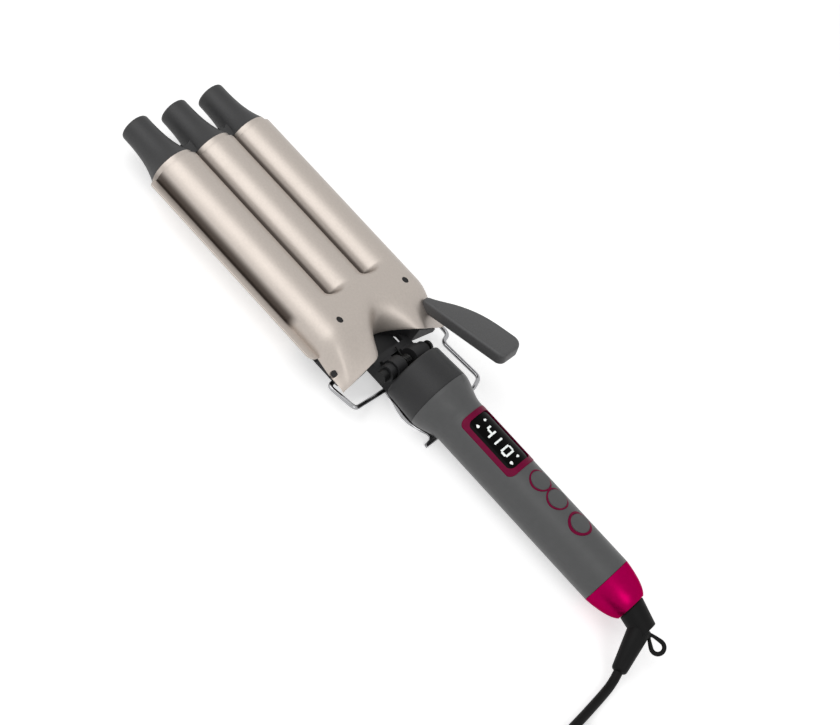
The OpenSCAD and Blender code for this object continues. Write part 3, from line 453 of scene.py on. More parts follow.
# %% Display, board and inside pieces
window_plastic = finish("window_plastic", (0.002, 0.002, 0.002), 0.1, Specular_IOR_Level=0.04)
vary_gloss(window_plastic, noise(window_plastic, 200, 2), 0.06, 0.12)
lit_bars = finish("lit_bars", (0.75, 0.78, 0.76), 0.5, Emission_Color=(0.9, 0.97, 0.95, 1),
    Emission_Strength=0.35)
tint(lit_bars, noise(lit_bars, 900, 1), (0.62, 0.66, 0.64), (0.85, 0.86, 0.85))
lcd_glass = finish("lcd_glass", (0.12, 0.13, 0.12), 0.2)
vary_gloss(lcd_glass, noise(lcd_glass, 200), 0.15, 0.25)
BOARD = (0.02, 0.13, 0.05)
circuit_board = finish("circuit_board", BOARD, 0.4)
tint(circuit_board, noise(circuit_board, 700, 1), *shades(BOARD, 0.25))
SLEEVE = (0.62, 0.6, 0.52)
lead_sleeve = finish("lead_sleeve", SLEEVE, 0.8, Sheen_Weight=0.2)
relief(lead_sleeve, noise(lead_sleeve, 2500, 1), 0.0001)
tint(lead_sleeve, noise(lead_sleeve, 2500, 1), *shades(SLEEVE, 0.15))
CERAMIC = (0.78, 0.75, 0.68)
heater_ceramic = finish("heater_ceramic", CERAMIC, 0.7)
tint(heater_ceramic, noise(heater_ceramic, 600, 3), *shades(CERAMIC, 0.06))

# %% [markdown]
# Each CAD node gets the finish of its slot. A few nodes differ from the rest of their slot, and
# get a finish of their own.

# %% Finish the CAD nodes
OWN_FINISHES = {
    "neck": "hinge_plastic_painted_shade", "clamp_bracket": "hinge_plastic_painted_shade", "barrel_base": "hinge_plastic_painted_shade",
    "hinge_pin": "blackened_steel", "clamp_spring": "blackened_steel",
    "front_housing": "housing_plastic",
    "display_frame": "magenta_frame", "button_rings": "magenta_frame",
}
for part in frame["record"]["subparts"]:
    name = part["node"]
    look = OWN_FINISHES.get(name, part["material_slot"])
    frame["nodes"][name].material_slots[0].material = FINISHES[look]
mains_cord.data.materials.append(rubber)
print(len(frame["nodes"]), "nodes finished with", len(FINISHES), "materials")

# %% [markdown]
# ## Shaping helpers
#
# Every new piece is made as by hand: one primitive, shaped in edit mode, then finished with
# modifiers. These helpers open a primitive, pick its faces, edges or points by their place in
# millimetres, apply a modifier, and hand the finished piece to the body that it moves with. A
# place is near another within 0.1 mm, and at it within 0.01 mm.

# %% Helpers for shaping
NEAR, AT = 0.1, 0.01


def begin(name, primitive, **where):
    """Adds one primitive alone, names it, and opens it with nothing selected."""
    bpy.ops.object.select_all(action="DESELECT")
    primitive(**where)
    piece = bpy.context.object
    piece.name = name
    bpy.ops.object.transform_apply(location=True, rotation=True, scale=True)
    bpy.ops.object.mode_set(mode="EDIT")
    bpy.ops.mesh.select_all(action="DESELECT")
    return piece


def pick(kind, test):
    """Selects only the points, edges or faces whose middle, in mm, passes the test."""
    bpy.ops.mesh.select_mode(type=kind)
    bpy.ops.mesh.select_all(action="DESELECT")
    piece = bpy.context.object
    mesh = bmesh.from_edit_mesh(piece.data)
    for item in {"VERT": mesh.verts, "EDGE": mesh.edges, "FACE": mesh.faces}[kind]:
        points = [item.co] if kind == "VERT" else [v.co for v in item.verts]
        if test(sum(points, Vector()) / len(points) / MM):
            item.select_set(True)
    mesh.select_flush_mode()
    bmesh.update_edit_mesh(piece.data)


def extrude(move):
    """Extrudes what is selected by that vector, in metres."""
    bpy.ops.mesh.extrude_region_move(TRANSFORM_OT_translate={"value": move})


def alone(piece):
    """Object mode, with only this piece selected and active."""
    if bpy.context.mode != "OBJECT":
        bpy.ops.object.mode_set(mode="OBJECT")
    bpy.ops.object.select_all(action="DESELECT")
    piece.select_set(True)
    bpy.context.view_layer.objects.active = piece


def refine(piece, kind, **settings):
    """Adds one modifier with these settings and applies it."""
    alone(piece)
    bpy.ops.object.modifier_add(type=kind)
    modifier = piece.modifiers[-1]
    for name, value in settings.items():
        setattr(modifier, name, value)
    bpy.ops.object.modifier_apply(modifier=modifier.name)


def round_edges(piece, width, segments, angle):
    """Bevels every edge that turns by more than angle, in degrees. width is in mm."""
    refine(piece, "BEVEL", width=width * MM, segments=segments, limit_method="ANGLE",
        angle_limit=math.radians(angle))


def settle(piece):
    """The place goes into the mesh, doubles are merged, and the faces are turned outwards."""
    alone(piece)
    bpy.ops.object.transform_apply(location=True, rotation=True, scale=True)
    bpy.ops.object.mode_set(mode="EDIT")
    bpy.ops.mesh.select_all(action="SELECT")
    bpy.ops.mesh.remove_doubles(threshold=AT * MM)
    bpy.ops.mesh.normals_make_consistent(inside=False)
    bpy.ops.object.mode_set(mode="OBJECT")


def hand_over(piece, slot, body, *nodes, angle=35, look=None):
    """Shading, finish and body of a finished piece, and the CAD nodes that it stands for."""
    alone(piece)
    bpy.ops.object.shade_smooth_by_angle(angle=math.radians(angle))
    piece.data.materials.clear()
    piece.data.materials.append(FINISHES[look or slot])
    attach(piece, body)
    if nodes:
        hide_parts(*nodes)
    print(piece.name + ":", len(piece.data.polygons), "faces")


# %% [markdown]
# ## The clamp's sheet
#
# The real clamp is one thin sheet, pressed over a form: three ribs that lie over the barrels,
# which run out into a smooth collar with a notch for the hinge and two wings. It is made here
# as it is in the press. A flat grid is cut to size and laid out in rows along the barrels and
# columns across them, and each point is then moved to where the form holds it. No extrude or
# bevel gives a surface that turns two ways at once without a seam, and a form does.

# %% The form's section: three ribs with rounded valleys
PITCH = 27.6
SHEET_R, SHEET_T = 13.8, 1.0
VALLEY_Z = 6.5
VALLEY_ROUND = 1.4
SIDE_TURN = 20.0
COLUMN_STEP = 1.15


def rounded_max(a, b, size):
    """The larger of two values, with the corner between them rounded."""
    h = max(size - abs(a - b), 0.0) / size
    return max(a, b) + h * h * size / 4


def rib_height(y):
    """Height of the ribbed sheet above the barrels' axis at y."""
    d = abs(y) - PITCH if abs(y) > PITCH / 2 else abs(y)
    return rounded_max(math.sqrt(max(SHEET_R**2 - d * d, 0.0)), VALLEY_Z, VALLEY_ROUND)


def across(u):
    """Place in the section of a column u: beyond the outer barrels it runs round their sides."""
    if abs(u) <= PITCH:
        return u, rib_height(u)
    a = (abs(u) - PITCH) / SIDE_TURN * math.pi / 2
    return math.copysign(PITCH + SHEET_R * math.sin(a), u), SHEET_R * math.cos(a)


def even_columns(step, samples=2000):
    """Columns that are equally far apart along the section."""
    end = PITCH + SIDE_TURN
    fine = [end * i / samples for i in range(samples + 1)]
    run = [0.0]
    for a, b in zip(fine, fine[1:]):
        (ya, za), (yb, zb) = across(a), across(b)
        run.append(run[-1] + math.hypot(yb - ya, zb - za))
    count = round(run[-1] / step)
    half, j = [], 0
    for i in range(1, count + 1):
        while run[j] < run[-1] * i / count - 1e-9:
            j += 1
        half.append(fine[j])
    return [-u for u in reversed(half)] + [0.0] + half


COLUMNS = even_columns(COLUMN_STEP)
print("the sheet has", len(COLUMNS), "columns")

# %% The form's back: notch and wings
SHEET_X = -163.0
COLLAR_X, VALLEY_END_X = -66.0, -60.6
NOTCH = {"x": -38.0, "z": -3.0, "y": 4.0, "roll": 16.0}
WING = {"x": -24.2, "z": 8.9, "y": 17.4, "roll": 25.0}
WING_TIP = {"x": -21.5, "z": -4.0, "y": PITCH + SHEET_R}
NOTCH_TURN = math.radians(57)
FLAT_Y = WING["y"] + 6
WING_BEND = 0.4
CORNER_ROUND = 0.35
SIDE_FROM, SIDE_DOWN_BY = 0.75, 0.6


def mix(a, b, t):
    """The value that lies at the share t of the way from a to b."""
    return a + (b - a) * t


def soft_share(a, b, v):
    """How far v is on the way from a to b, from 0 to 1, with both corners rounded."""
    t = (v - a) / (b - a)
    low = rounded_max(t, 0.0, CORNER_ROUND)
    return 1.0 - rounded_max(1.0 - low, 0.0, CORNER_ROUND)


def back_edge(y):
    """The back edge at y: its x and z, the x from which the sheet comes down to it, and how
    much it comes down as a flat wing, and as a wing's side."""
    a = abs(y)
    inner = soft_share(NOTCH["y"], WING["y"], a)
    outer = soft_share(WING["y"], WING_TIP["y"], a)
    x = mix(NOTCH["x"], WING["x"], inner) + (WING_TIP["x"] - WING["x"]) * outer
    z = mix(NOTCH["z"], WING["z"], inner) + (WING_TIP["z"] - WING["z"]) * outer
    flatness = ease(NOTCH["y"], FLAT_Y, a)
    start_x = x - mix(NOTCH["roll"], WING["roll"], flatness)
    return x, z, start_x, flatness, ease(SIDE_FROM, 1, outer)


def drop(s, flatness, side):
    """How far the sheet has come down at s: round by the notch, and nearly flat on the wings,
    but early at a wing's side. Both s and the result go from 0 to 1."""
    bend = 1 - math.sqrt(1 - (s * math.sin(NOTCH_TURN)) ** 2)
    ramp_down = s * s / 2 / WING_BEND if s < WING_BEND else s - WING_BEND / 2
    wing = mix(ramp_down / (1 - WING_BEND / 2), ease(0, SIDE_DOWN_BY, s), side)
    return mix(bend / (1 - math.cos(NOTCH_TURN)), wing, flatness)


PLATE_ROWS, RISE_ROWS, FLAT_ROWS, ROLL_ROWS = 40, 12, 10, 24
ROWS = PLATE_ROWS + RISE_ROWS + FLAT_ROWS + ROLL_ROWS + 1


def on_form(row, u):
    """Where the form holds the point of that row and column, in mm."""
    y, ribbed = across(u)
    smooth = SHEET_R if abs(u) <= PITCH else ribbed
    if row < PLATE_ROWS:
        return SHEET_X + (COLLAR_X - SHEET_X) * row / PLATE_ROWS, y, ribbed
    row -= PLATE_ROWS
    if row < RISE_ROWS:
        x = mix(COLLAR_X, VALLEY_END_X, row / RISE_ROWS)
        return x, y, mix(ribbed, smooth, ease(COLLAR_X, VALLEY_END_X, x))
    row -= RISE_ROWS
    end_x, end_z, start_x, flatness, side = back_edge(y)
    if row < FLAT_ROWS:
        return mix(VALLEY_END_X, start_x, row / FLAT_ROWS), y, smooth
    s = (row - FLAT_ROWS) / ROLL_ROWS
    return mix(start_x, end_x, s), y, mix(smooth, end_z, drop(s, flatness, side))


# %% Press the sheet
def press(piece, rows, columns, form):
    """Moves each point of a flat grid to where the form holds its row and column."""
    bpy.ops.object.mode_set(mode="OBJECT")
    for point in piece.data.vertices:
        row = round((point.co.x + 0.5) * rows)
        column = round((point.co.y + 0.5) * (len(columns) - 1))
        x, y, z = form(row, columns[column])
        point.co = Vector((x, y, z + AXIS_Z)) * MM


sheet = begin("clamp_sheet", bpy.ops.mesh.primitive_grid_add,
    x_subdivisions=ROWS - 1, y_subdivisions=len(COLUMNS) - 1, size=1)
press(sheet, ROWS - 1, COLUMNS, on_form)
settle(sheet)
refine(sheet, "SOLIDIFY", thickness=SHEET_T * MM, offset=-1, use_even_offset=True)

# %% [markdown]
# Holes come after the pressing, as they do in the press shop: a cone for each of the two sunk
# screws, and a round eye in each wing's side. A plain cone and a plain cylinder are the drills.

# %% Drill the sheet
def drill(piece, primitive, **where):
    """Cuts one primitive's shape out of a piece."""
    tool = begin("drill", primitive, **where)
    bpy.ops.object.mode_set(mode="OBJECT")
    refine(piece, "BOOLEAN", operation="DIFFERENCE", object=tool, solver="EXACT")
    bpy.data.objects.remove(tool, do_unlink=True)


SCREW_X, SCREW_Y, SCREW_Z = -49.0, 26.3, AXIS_Z + 12.8 + 0.45
SCREW_R, SCREW_HEAD_R, SCREW_HIGH = 1.3, 2.05, 1.5
EYE_X, EYE_Z = -31.5, AXIS_Z - 0.8
EYE_R, EYE_DEEP = 1.8, 6
for side in (-1, 1):
    drill(sheet, bpy.ops.mesh.primitive_cone_add, vertices=32, radius1=SCREW_R * MM,
        radius2=SCREW_HEAD_R * MM, depth=SCREW_HIGH * MM,
        location=Vector((SCREW_X, side * SCREW_Y, SCREW_Z)) * MM)
    drill(sheet, bpy.ops.mesh.primitive_cylinder_add, vertices=32, radius=EYE_R * MM,
        depth=EYE_DEEP * MM, location=Vector((EYE_X, side * (PITCH + SHEET_R), EYE_Z)) * MM,
        rotation=(math.pi / 2, 0, 0))
round_edges(sheet, 0.18, 2, 50)
hand_over(sheet, "champagne_coat", "clamp", "clamp_plate", "clamp_collar", angle=40)

# %% [markdown]
# ## The clamp's lips
#
# Along both sides the sheet is bent outwards into a narrow lip, which stiffens it. Each lip is a
# thin box: its two outer corners get a large bevel in plan, and its edges a small one. The
# second lip is a copy, mirrored to the other side.

# %% Lips
LIP_IN, LIP_OUT = PITCH + SHEET_R - 0.6, PITCH + SHEET_R + 5.0
LIP_END_X, LIP_Z = -42.0, AXIS_Z + 0.5
BACK_CORNER, FRONT_CORNER = 4.4, 2.2
lip = begin("clamp_lip_left", bpy.ops.mesh.primitive_cube_add, size=1,
    location=Vector(((SHEET_X + LIP_END_X) / 2, -(LIP_IN + LIP_OUT) / 2, LIP_Z)) * MM,
    scale=Vector((LIP_END_X - SHEET_X, LIP_OUT - LIP_IN, SHEET_T)) * MM)
pick("EDGE", lambda p: p.y < -LIP_OUT + NEAR and p.x > LIP_END_X - NEAR)
bpy.ops.mesh.bevel(offset=BACK_CORNER * MM, segments=10)
pick("EDGE", lambda p: p.y < -LIP_OUT + NEAR and p.x < SHEET_X + NEAR)
bpy.ops.mesh.bevel(offset=FRONT_CORNER * MM, segments=6)
round_edges(lip, 0.3, 3, 40)
hand_over(lip, "champagne_coat", "clamp", angle=30)


def twin(piece, name, slot, body):
    """A copy with its own mesh, mirrored to the other side of the middle plane."""
    alone(piece)
    bpy.ops.object.duplicate(linked=False)
    other = bpy.context.object
    other.name = name
    other.scale.y = -1
    settle(other)
    hand_over(other, slot, body)


twin(lip, "clamp_lip_right", "champagne_coat", "clamp")

# %% [markdown]
# ## The lever
#
# The thumb lever is one thick plastic moulding. It grows from the wing as a narrow root, widens
# like a paddle, and rises. A small box is extruded along its length, and each new end is made as
# wide as the paddle is there. A form of the wing then cuts its seat, so that it sits flush.

# %% Lever
LEVER_AT = Vector((-36.3, 28, AXIS_Z + 11.5)) * MM
LEVER_RISE = math.radians(15)
LEVER_L, LEVER_W, LEVER_T = 53, 19, 7.0
ROOT_L, ROOT_W = 1.5, 3.5
INNER_CORNER, OUTER_CORNER = 4, 6.5
LEVER_WIDTHS = [
    (ROOT_L, 5.2), (4, 6.5), (6.7, 8.2), (9.5, 10.2), (12.5, 12.2), (15.5, 13.9), (19, 15.5),
    (23, 17), (27, 18), (31, 18.6), (36, LEVER_W), (LEVER_L, LEVER_W),
]
lever = begin("thumb_lever", bpy.ops.mesh.primitive_cube_add, size=1,
    location=Vector((ROOT_L / 2, ROOT_W / 2, -LEVER_T / 2)) * MM,
    scale=Vector((ROOT_L, ROOT_W, LEVER_T)) * MM)
width, end = ROOT_W, ROOT_L
for x, wide in LEVER_WIDTHS:
    step = x - end
    pick("FACE", lambda p: abs(p.x - end) < AT)
    if step > 0:
        extrude((step * MM, 0, 0))
    bpy.ops.transform.resize(value=(1, wide / width, 1), center_override=(0, 0, 0))
    width, end = wide, x


def upright_at_end(p):
    """Whether p is the middle of an upright edge at the lever's end."""
    return p.x > LEVER_L - NEAR and abs(p.z + LEVER_T / 2) < NEAR


pick("EDGE", lambda p: upright_at_end(p) and p.y < NEAR)
bpy.ops.mesh.bevel(offset=INNER_CORNER * MM, segments=8)
pick("EDGE", lambda p: upright_at_end(p) and p.y > LEVER_W - NEAR)
bpy.ops.mesh.bevel(offset=OUTER_CORNER * MM, segments=10)
settle(lever)
round_edges(lever, 1.8, 5, 50)
lever.location = LEVER_AT
lever.rotation_euler = (0, -LEVER_RISE, 0)
settle(lever)

# %% Seat the lever on the wing
SEAT_FROM, SEAT_STEPS, SEAT_DEEP = 26, 12, 30
SEAT_ROWS = ROLL_ROWS + FLAT_ROWS
seat_columns = [SEAT_FROM + (PITCH + SIDE_TURN - SEAT_FROM) * i / SEAT_STEPS
    for i in range(SEAT_STEPS + 1)]
seat = begin("lever_seat", bpy.ops.mesh.primitive_grid_add,
    x_subdivisions=SEAT_ROWS, y_subdivisions=SEAT_STEPS, size=1)
press(seat, SEAT_ROWS, seat_columns, lambda row, u: on_form(ROWS - 1 - SEAT_ROWS + row, u))
bpy.ops.object.mode_set(mode="EDIT")
bpy.ops.mesh.select_all(action="SELECT")
extrude((0, 0, -SEAT_DEEP * MM))
settle(seat)
refine(lever, "BOOLEAN", operation="DIFFERENCE", object=seat, solver="EXACT")
bpy.data.objects.remove(seat, do_unlink=True)
hand_over(lever, "heatproof_plastic", "clamp", "lever", angle=40, look="lever_plastic_painted_light")

# %% [markdown]
# ## The display
#
# A dark pane lies over a lit module, and only the lit bars show through it. Each digit is made
# of up to seven bars. One bar is modelled, a thin box with rounded corners, and the others are
# copies of it. Four small pointed signs are copies of one disc. All are joined and laid on to
# the pane's round surface.

# %% One lit bar
PANE_R = 13.34
BAR_LONG, BAR_WIDE, BAR_THICK, BAR_CORNER = 2.7, 1.05, 0.1, 0.3


def laid_on(piece, radius):
    """Lays a flat piece on to a cylinder of that radius about the handle's axis."""
    for point in piece.data.vertices:
        y, height = point.co.y / MM, point.co.z / MM
        point.co.z = (AXIS_Z + math.sqrt(radius**2 - y * y) + height) * MM


def copied(piece, name, place, turn):
    """A copy with its own mesh, turned about the vertical and moved to its place, in mm."""
    alone(piece)
    bpy.ops.object.duplicate(linked=False)
    other = bpy.context.object
    other.name = name
    other.rotation_euler.z = turn
    other.location = Vector(place) * MM
    settle(other)
    return other


def joined(name, pieces):
    """Several pieces as one."""
    alone(pieces[0])
    for piece in pieces:
        piece.select_set(True)
    bpy.ops.object.join()
    pieces[0].name = name
    return pieces[0]


bar = begin("bar", bpy.ops.mesh.primitive_cube_add, size=1,
    scale=Vector((BAR_LONG, BAR_WIDE, BAR_THICK)) * MM)
pick("EDGE", lambda p: abs(p.z) < AT)
bpy.ops.mesh.bevel(offset=BAR_CORNER * MM, segments=3)
settle(bar)

# %% Digits and signs
DIGIT_Y, HALF_HIGH, HALF_WIDE = -2.4, 1.4, 1.8
BARS = {
    "top": (0, 2, 0), "middle": (0, 0, 0), "bottom": (0, -2, 0), "upper_left": (-1, 1, 1),
    "lower_left": (-1, -1, 1), "upper_right": (1, 1, 1), "lower_right": (1, -1, 1),
}
DIGITS = [
    (38.5, ("upper_left", "middle", "upper_right", "lower_right")),
    (43.0, ("upper_right", "lower_right")),
    (51.2, ("top", "bottom", "upper_left", "lower_left", "upper_right", "lower_right")),
]
SIGN_R, SIGN_RIM, SIGN_TOP_Y, SIGN_POINT = 0.72, 0.08, 0.66, 0.45
SIGNS = [(32.6, 0.2, 0), (33.1, -5.2, 0), (56.3, 0.2, 0), (56.8, -5.3, 0)]
lit = []
for digit_x, names in DIGITS:
    for name in names:
        dx, dy, upright = BARS[name]
        place = (digit_x + dx * HALF_WIDE, DIGIT_Y + dy * HALF_HIGH, 0)
        lit.append(copied(bar, "lit_" + name, place, upright * math.pi / 2))
bpy.data.objects.remove(bar, do_unlink=True)
sign = begin("sign", bpy.ops.mesh.primitive_cylinder_add, vertices=16, radius=SIGN_R * MM,
    depth=BAR_THICK * MM)
pick("FACE", lambda p: p.z > BAR_THICK / 2 - AT)
bpy.ops.mesh.inset(thickness=SIGN_RIM * MM)
pick("VERT", lambda p: p.y > SIGN_TOP_Y)
bpy.ops.transform.translate(value=(0, SIGN_POINT * MM, 0))
settle(sign)
for i, place in enumerate(SIGNS):
    lit.append(copied(sign, "lit_sign_" + str(i), place, i * math.pi / 2))
bpy.data.objects.remove(sign, do_unlink=True)
lit_digits = joined("lit_digits", lit)
laid_on(lit_digits, PANE_R)
settle(lit_digits)
hand_over(lit_digits, "lcd_glass", "frame", look="lit_bars")

# %% [markdown]
# ## The end cap
#
# The cap is turned: a bowl that gets narrower towards the swivel. It starts as a small ring with
# as many points as its profile has. Each point is moved to its place in the profile, and the
# ring is spun about the handle's axis.

# %% Turned pieces
def turned(name, profile, steps=72):
    """Spins a closed profile of (x, radius) in mm about the handle's axis."""
    piece = begin(name, bpy.ops.mesh.primitive_circle_add, vertices=len(profile), radius=MM)
    bpy.ops.object.mode_set(mode="OBJECT")
    for point, (x, radius) in zip(piece.data.vertices, profile):
        point.co = Vector((x, radius, AXIS_Z)) * MM
    bpy.ops.object.mode_set(mode="EDIT")
    bpy.ops.mesh.select_all(action="SELECT")
    bpy.ops.mesh.spin(steps=steps, angle=2 * math.pi, center=Vector((0, 0, AXIS_Z)) * MM,
        axis=(1, 0, 0))
    settle(piece)
    return piece


CAP_X, CAP_L, CAP_R, CAP_END_R, CAP_IN_R = 128.5, 17.5, 13.7, 8.2, 9.6
CAP_BOW = [
    (0, 1), (0.1, 0.965), (0.2, 0.92), (0.3, 0.868), (0.4, 0.808), (0.5, 0.737), (0.6, 0.652),
    (0.7, 0.552), (0.78, 0.455), (0.85, 0.352), (0.9, 0.262), (0.95, 0.155), (0.98, 0.07),
    (1, 0.02),
]
SEAM = 0.25
outside = [(CAP_X + SEAM + (CAP_L - SEAM) * a, CAP_END_R + (CAP_R - CAP_END_R) * b)
    for a, b in CAP_BOW]
CAP_FLOOR_X, SPIGOT_X = 139.3, 122.5
BORE_R, SPIGOT_R, SEAM_R = 6.65, 11.45, 13.45
inside = [(CAP_X + CAP_L, BORE_R), (CAP_FLOOR_X, BORE_R), (CAP_FLOOR_X, CAP_IN_R),
    (SPIGOT_X, CAP_IN_R), (SPIGOT_X, SPIGOT_R), (CAP_X, SPIGOT_R), (CAP_X, SEAM_R)]
cap = turned("end_cap_bowl", outside + inside)
round_edges(cap, 0.4, 3, 55)
hand_over(cap, "magenta_plastic", "frame", "end_cap", angle=30)

# %% [markdown]
# ## The swivel's end and the sleeve
#
# The cord turns in the cap on a swivel. Its outside is a tapered drum with a flat, rounded end,
# and the sleeve leaves it sideways. Both are soft black mouldings without ribs. The drum is a
# cylinder whose far end is made smaller and set a little aside and lower, and whose near end is
# hollowed. The sleeve is a cone whose end is drawn in to the cord.

# %% Swivel drum
DRUM_X, DRUM_END_X, DRUM_R, DRUM_END_R = 146.3, 159.8, 7.3, 6.5
DRUM_ASIDE, DRUM_LOWER = 2.6, 2.0
DRUM_WALL, DRUM_HOLLOW = 0.65, 1.8
drum = begin("swivel_drum", bpy.ops.mesh.primitive_cylinder_add, vertices=56, radius=DRUM_R * MM,
    depth=(DRUM_END_X - DRUM_X) * MM,
    location=Vector(((DRUM_X + DRUM_END_X) / 2, 0, AXIS_Z)) * MM, rotation=(0, math.pi / 2, 0))
pick("FACE", lambda p: p.x > DRUM_END_X - AT)
bpy.ops.transform.resize(value=(1, DRUM_END_R / DRUM_R, DRUM_END_R / DRUM_R),
    center_override=(0, 0, AXIS_Z * MM))
bpy.ops.transform.translate(value=(0, -DRUM_ASIDE * MM, -DRUM_LOWER * MM))
pick("FACE", lambda p: p.x < DRUM_X + AT)
bpy.ops.mesh.inset(thickness=DRUM_WALL * MM)
extrude((DRUM_HOLLOW * MM, 0, 0))
settle(drum)
round_edges(drum, 1.3, 4, 60)
hand_over(drum, "black_rubber", "swivel", "cord_elbow", angle=30)

# %% Sleeve
SLEEVE_TURN = SLEEVE_DIR.to_track_quat("Z", "Y").to_euler()
SLEEVE_ROOT, SLEEVE_L = 3.5, 23.2
SLEEVE_ROOT_R, SLEEVE_END_R = 5.9, 3.9
DRAWN_L, DRAWN_IN = 1.0, 0.72
sleeve = begin("cord_sleeve", bpy.ops.mesh.primitive_cone_add, vertices=48,
    radius1=SLEEVE_ROOT_R * MM, radius2=SLEEVE_END_R * MM, depth=SLEEVE_L * MM,
    location=SWIVEL_AT + (SLEEVE_ROOT + SLEEVE_L / 2) * MM * SLEEVE_DIR, rotation=SLEEVE_TURN)
FAR_END = SWIVEL_AT + (SLEEVE_ROOT + SLEEVE_L) * MM * SLEEVE_DIR
pick("FACE", lambda p: (p * MM - FAR_END).length < NEAR * MM)
extrude(DRAWN_L * MM * SLEEVE_DIR)
bpy.ops.transform.resize(value=(DRAWN_IN, DRAWN_IN, DRAWN_IN),
    center_override=FAR_END + DRAWN_L * MM * SLEEVE_DIR)
settle(sleeve)
round_edges(sleeve, 0.9, 4, 30)
hand_over(sleeve, "black_rubber", "swivel", "strain_relief", angle=30)

# %% [markdown]
# ## The hanging loop
#
# The loop is moulded with the sleeve: a round eye of soft rubber, drawn out to a neck where it
# joins. It starts as a ring, and the side towards the swivel is pulled out to the neck.

# %% Loop
LOOP_AT = Vector((168.5, -2.6, 16.9)) * MM
LOOP_AXIS = Vector((0, 0.50, -0.80)).normalized()
LOOP_R, LOOP_THICK_R = 3.25, 1.15
NECK_AT = SWIVEL_AT + Vector((2, -1, -1.5)) * MM
NECK_DIR = (NECK_AT - LOOP_AT).normalized()
NECK_L, NECK_THIN, NECK_NARROW = 4.0, 0.2, 4
loop = begin("hanging_loop", bpy.ops.mesh.primitive_torus_add, major_radius=LOOP_R * MM,
    minor_radius=LOOP_THICK_R * MM, major_segments=48, minor_segments=14,
    location=LOOP_AT, rotation=LOOP_AXIS.to_track_quat("Z", "Y").to_euler())
bpy.ops.object.mode_set(mode="OBJECT")
for point in loop.data.vertices:
    out = point.co - LOOP_AT
    pull = max(0.0, out.normalized().dot(NECK_DIR)) ** NECK_NARROW
    aside = out - out.dot(NECK_DIR) * NECK_DIR
    point.co += NECK_L * MM * pull * NECK_DIR - NECK_THIN * pull * aside
settle(loop)
hand_over(loop, "black_rubber", "swivel", "hang_loop", angle=60)

# %% [markdown]
# ## The stand's wire
#
# One springy wire makes both legs and the two bars of the stand. A curve follows its bends with
# a round section, which extruded cylinders could not do without kinks, and is made a mesh.

# %% Wire
STAND_X, STAND_Z, WIRE_BAR_Z = -30.0, 11.2, 2.45
WIRE_D, WIRE_CORNER = 2.4, 3.2
WIRE_ROUTE = [
    (STAND_X, -30.1, STAND_Z), (STAND_X, -41, STAND_Z), (-13, -38, STAND_Z),
    (-14.5, -14, WIRE_BAR_Z), (-14.5, 14, WIRE_BAR_Z), (12, 14, WIRE_BAR_Z), (13, 31, STAND_Z),
    (10, 40, STAND_Z), (-16.5, 38, STAND_Z), (-18, 45, STAND_Z), (STAND_X, 45, STAND_Z),
    (STAND_X, 30.1, STAND_Z),
]


def rounded_route(route, size, steps=6):
    """The route's points in metres, with a short curve for each corner. route is in mm, and so
    is size, the distance from a corner at which its curve starts and stops."""
    places = [Vector(p) * MM for p in route]
    points = [places[0]]
    for a, b, c in zip(places, places[1:], places[2:]):
        start = b + size * MM * (a - b).normalized()
        stop = b + size * MM * (c - b).normalized()
        for i in range(steps + 1):
            s = i / steps
            points.append((1 - s) ** 2 * start + 2 * s * (1 - s) * b + s * s * stop)
    return points + [places[-1]]


def wire(name, points, diameter):
    """A round wire along the points, as a mesh. All is in metres."""
    curve = bpy.data.curves.new(name, "CURVE")
    curve.dimensions = "3D"
    curve.bevel_depth = diameter / 2
    curve.bevel_resolution = 5
    curve.use_fill_caps = True
    path = curve.splines.new("POLY")
    path.points.add(len(points) - 1)
    for knot, place in zip(path.points, points):
        knot.co = (*place, 1)
    piece = bpy.data.objects.new(name, curve)
    bpy.context.collection.objects.link(piece)
    alone(piece)
    bpy.ops.object.convert(target="MESH")
    piece = bpy.context.object
    settle(piece)
    return piece


stand_bow = wire("stand_bow", rounded_route(WIRE_ROUTE, WIRE_CORNER), WIRE_D * MM)
hand_over(stand_bow, "wire_steel", "stand", "stand_wire", angle=50)

# %% [markdown]
# ## The stand's foot
#
# The foot is a spoon of sheet steel that grips the wire's bar in a curled hem. Its edges are
# turned up, so that it slides on a table, and end in two small ears. The outline is one flat
# face. An inset leaves a border, whose outer edge is lifted, and a solidify gives the gauge.

# %% Foot
FOOT_X, FOOT_L, FOOT_HALF, GAUGE, RIM_H = -14.5, 36.0, 12.0, 1.0, 4.0
TABLE_GAP, BORDER, EAR_H = 0.1, 0.7, 0.9
HEM_R, HEM_HALF, HEM_WALL = 2.3, 6, 1.0
FOOT_EDGE = [
    (0, 0.5), (0.1, 0.55), (0.2, 0.63), (0.32, 0.76), (0.45, 0.84), (0.58, 0.8), (0.7, 0.64),
    (0.78, 0.5), (0.85, 0.38), (0.9, 0.38), (0.93, 0.5), (0.945, 0.86), (0.97, 0.94), (1, 0.9),
]
near_edge = [(FOOT_X + FOOT_L * a, -FOOT_HALF * b) for a, b in FOOT_EDGE]
outline = near_edge + [(x, -y) for x, y in reversed(near_edge)]
foot = begin("foot_spoon", bpy.ops.mesh.primitive_circle_add, vertices=len(outline), radius=MM,
    fill_type="NGON")
bpy.ops.object.mode_set(mode="OBJECT")
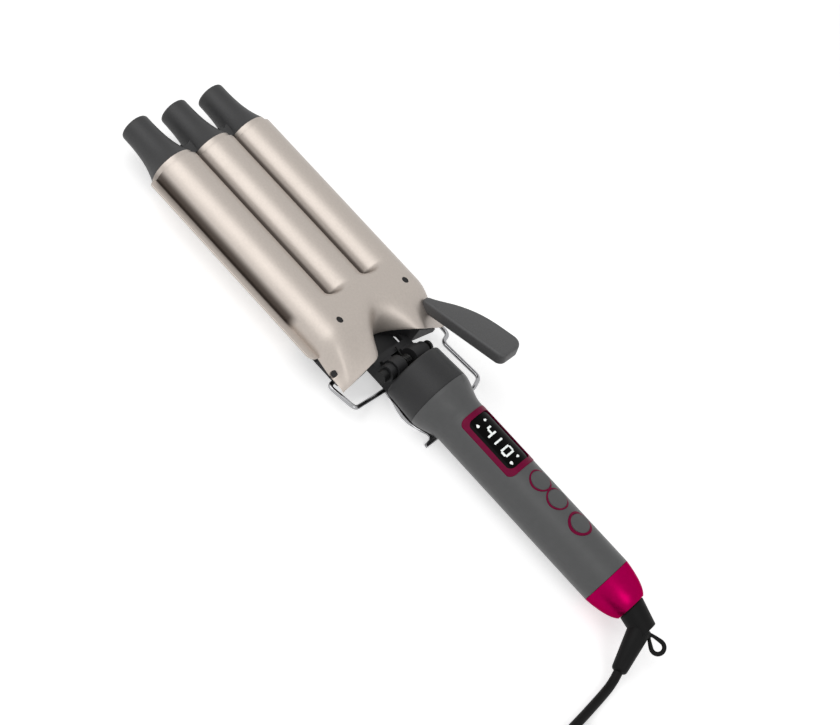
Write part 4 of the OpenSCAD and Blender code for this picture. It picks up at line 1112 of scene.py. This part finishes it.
for point, (x, y) in zip(foot.data.vertices, outline):
    point.co = Vector((x, y, GAUGE / 2 + TABLE_GAP)) * MM
bpy.ops.object.mode_set(mode="EDIT")
bpy.ops.mesh.select_all(action="SELECT")
bpy.ops.mesh.inset(thickness=BORDER * MM)
bpy.ops.object.mode_set(mode="OBJECT")
for point in foot.data.vertices:
    x, y = point.co.x / MM, point.co.y / MM
    along = (x - FOOT_X) / FOOT_L
    if min(math.hypot(x - a, y - b) for a, b in outline) < AT and 0 < along < 1:
        lift = ease(0.08, 0.34, along) * (1 - ease(0.5, 0.8, along)) * (RIM_H - GAUGE)
        ears = EAR_H * ease(0.92, 0.97, along)
        point.co.z += (lift + ears) * MM
settle(foot)
refine(foot, "SOLIDIFY", thickness=GAUGE * MM, offset=0, use_even_offset=False)
hem = begin("foot_hem", bpy.ops.mesh.primitive_cylinder_add, vertices=32, radius=HEM_R * MM,
    depth=2 * HEM_HALF * MM, location=Vector((FOOT_X, 0, WIRE_BAR_Z)) * MM,
    rotation=(math.pi / 2, 0, 0))
for side in (-1, 1):
    pick("FACE", lambda p: p.y * side > HEM_HALF - NEAR)
    bpy.ops.mesh.inset(thickness=HEM_WALL * MM)
    extrude((0, -side * MM, 0))
settle(hem)
foot = joined("foot_spoon", [foot, hem])
settle(foot)
round_edges(foot, 0.2, 2, 45)
hand_over(foot, "wire_steel", "stand", "stand_foot", angle=40)

# %% [markdown]
# ## Moulded edges
#
# A moulded piece never has a razor edge, because the tool that cuts its mould is round. The
# solids of these pieces stay as they are, and a weld and a small bevel are laid over them.

# %% Round the edges of the moulded pieces
MOULDED = {"front_housing": 0.5, "plug_body": 0.8, "cool_tips": 0.5, "coil_tie": 0.3}
MOULDED_TURN = math.radians(40)
for name, width in MOULDED.items():
    node = frame["nodes"][name]
    weld = node.modifiers.new("weld", "WELD")
    weld.merge_threshold = AT * MM
    bevel = node.modifiers.new("bevel", "BEVEL")
    bevel.width = width * MM
    bevel.segments = 3
    bevel.limit_method = "ANGLE"
    bevel.angle_limit = MOULDED_TURN
    print(name, "edges rounded by", width, "mm")
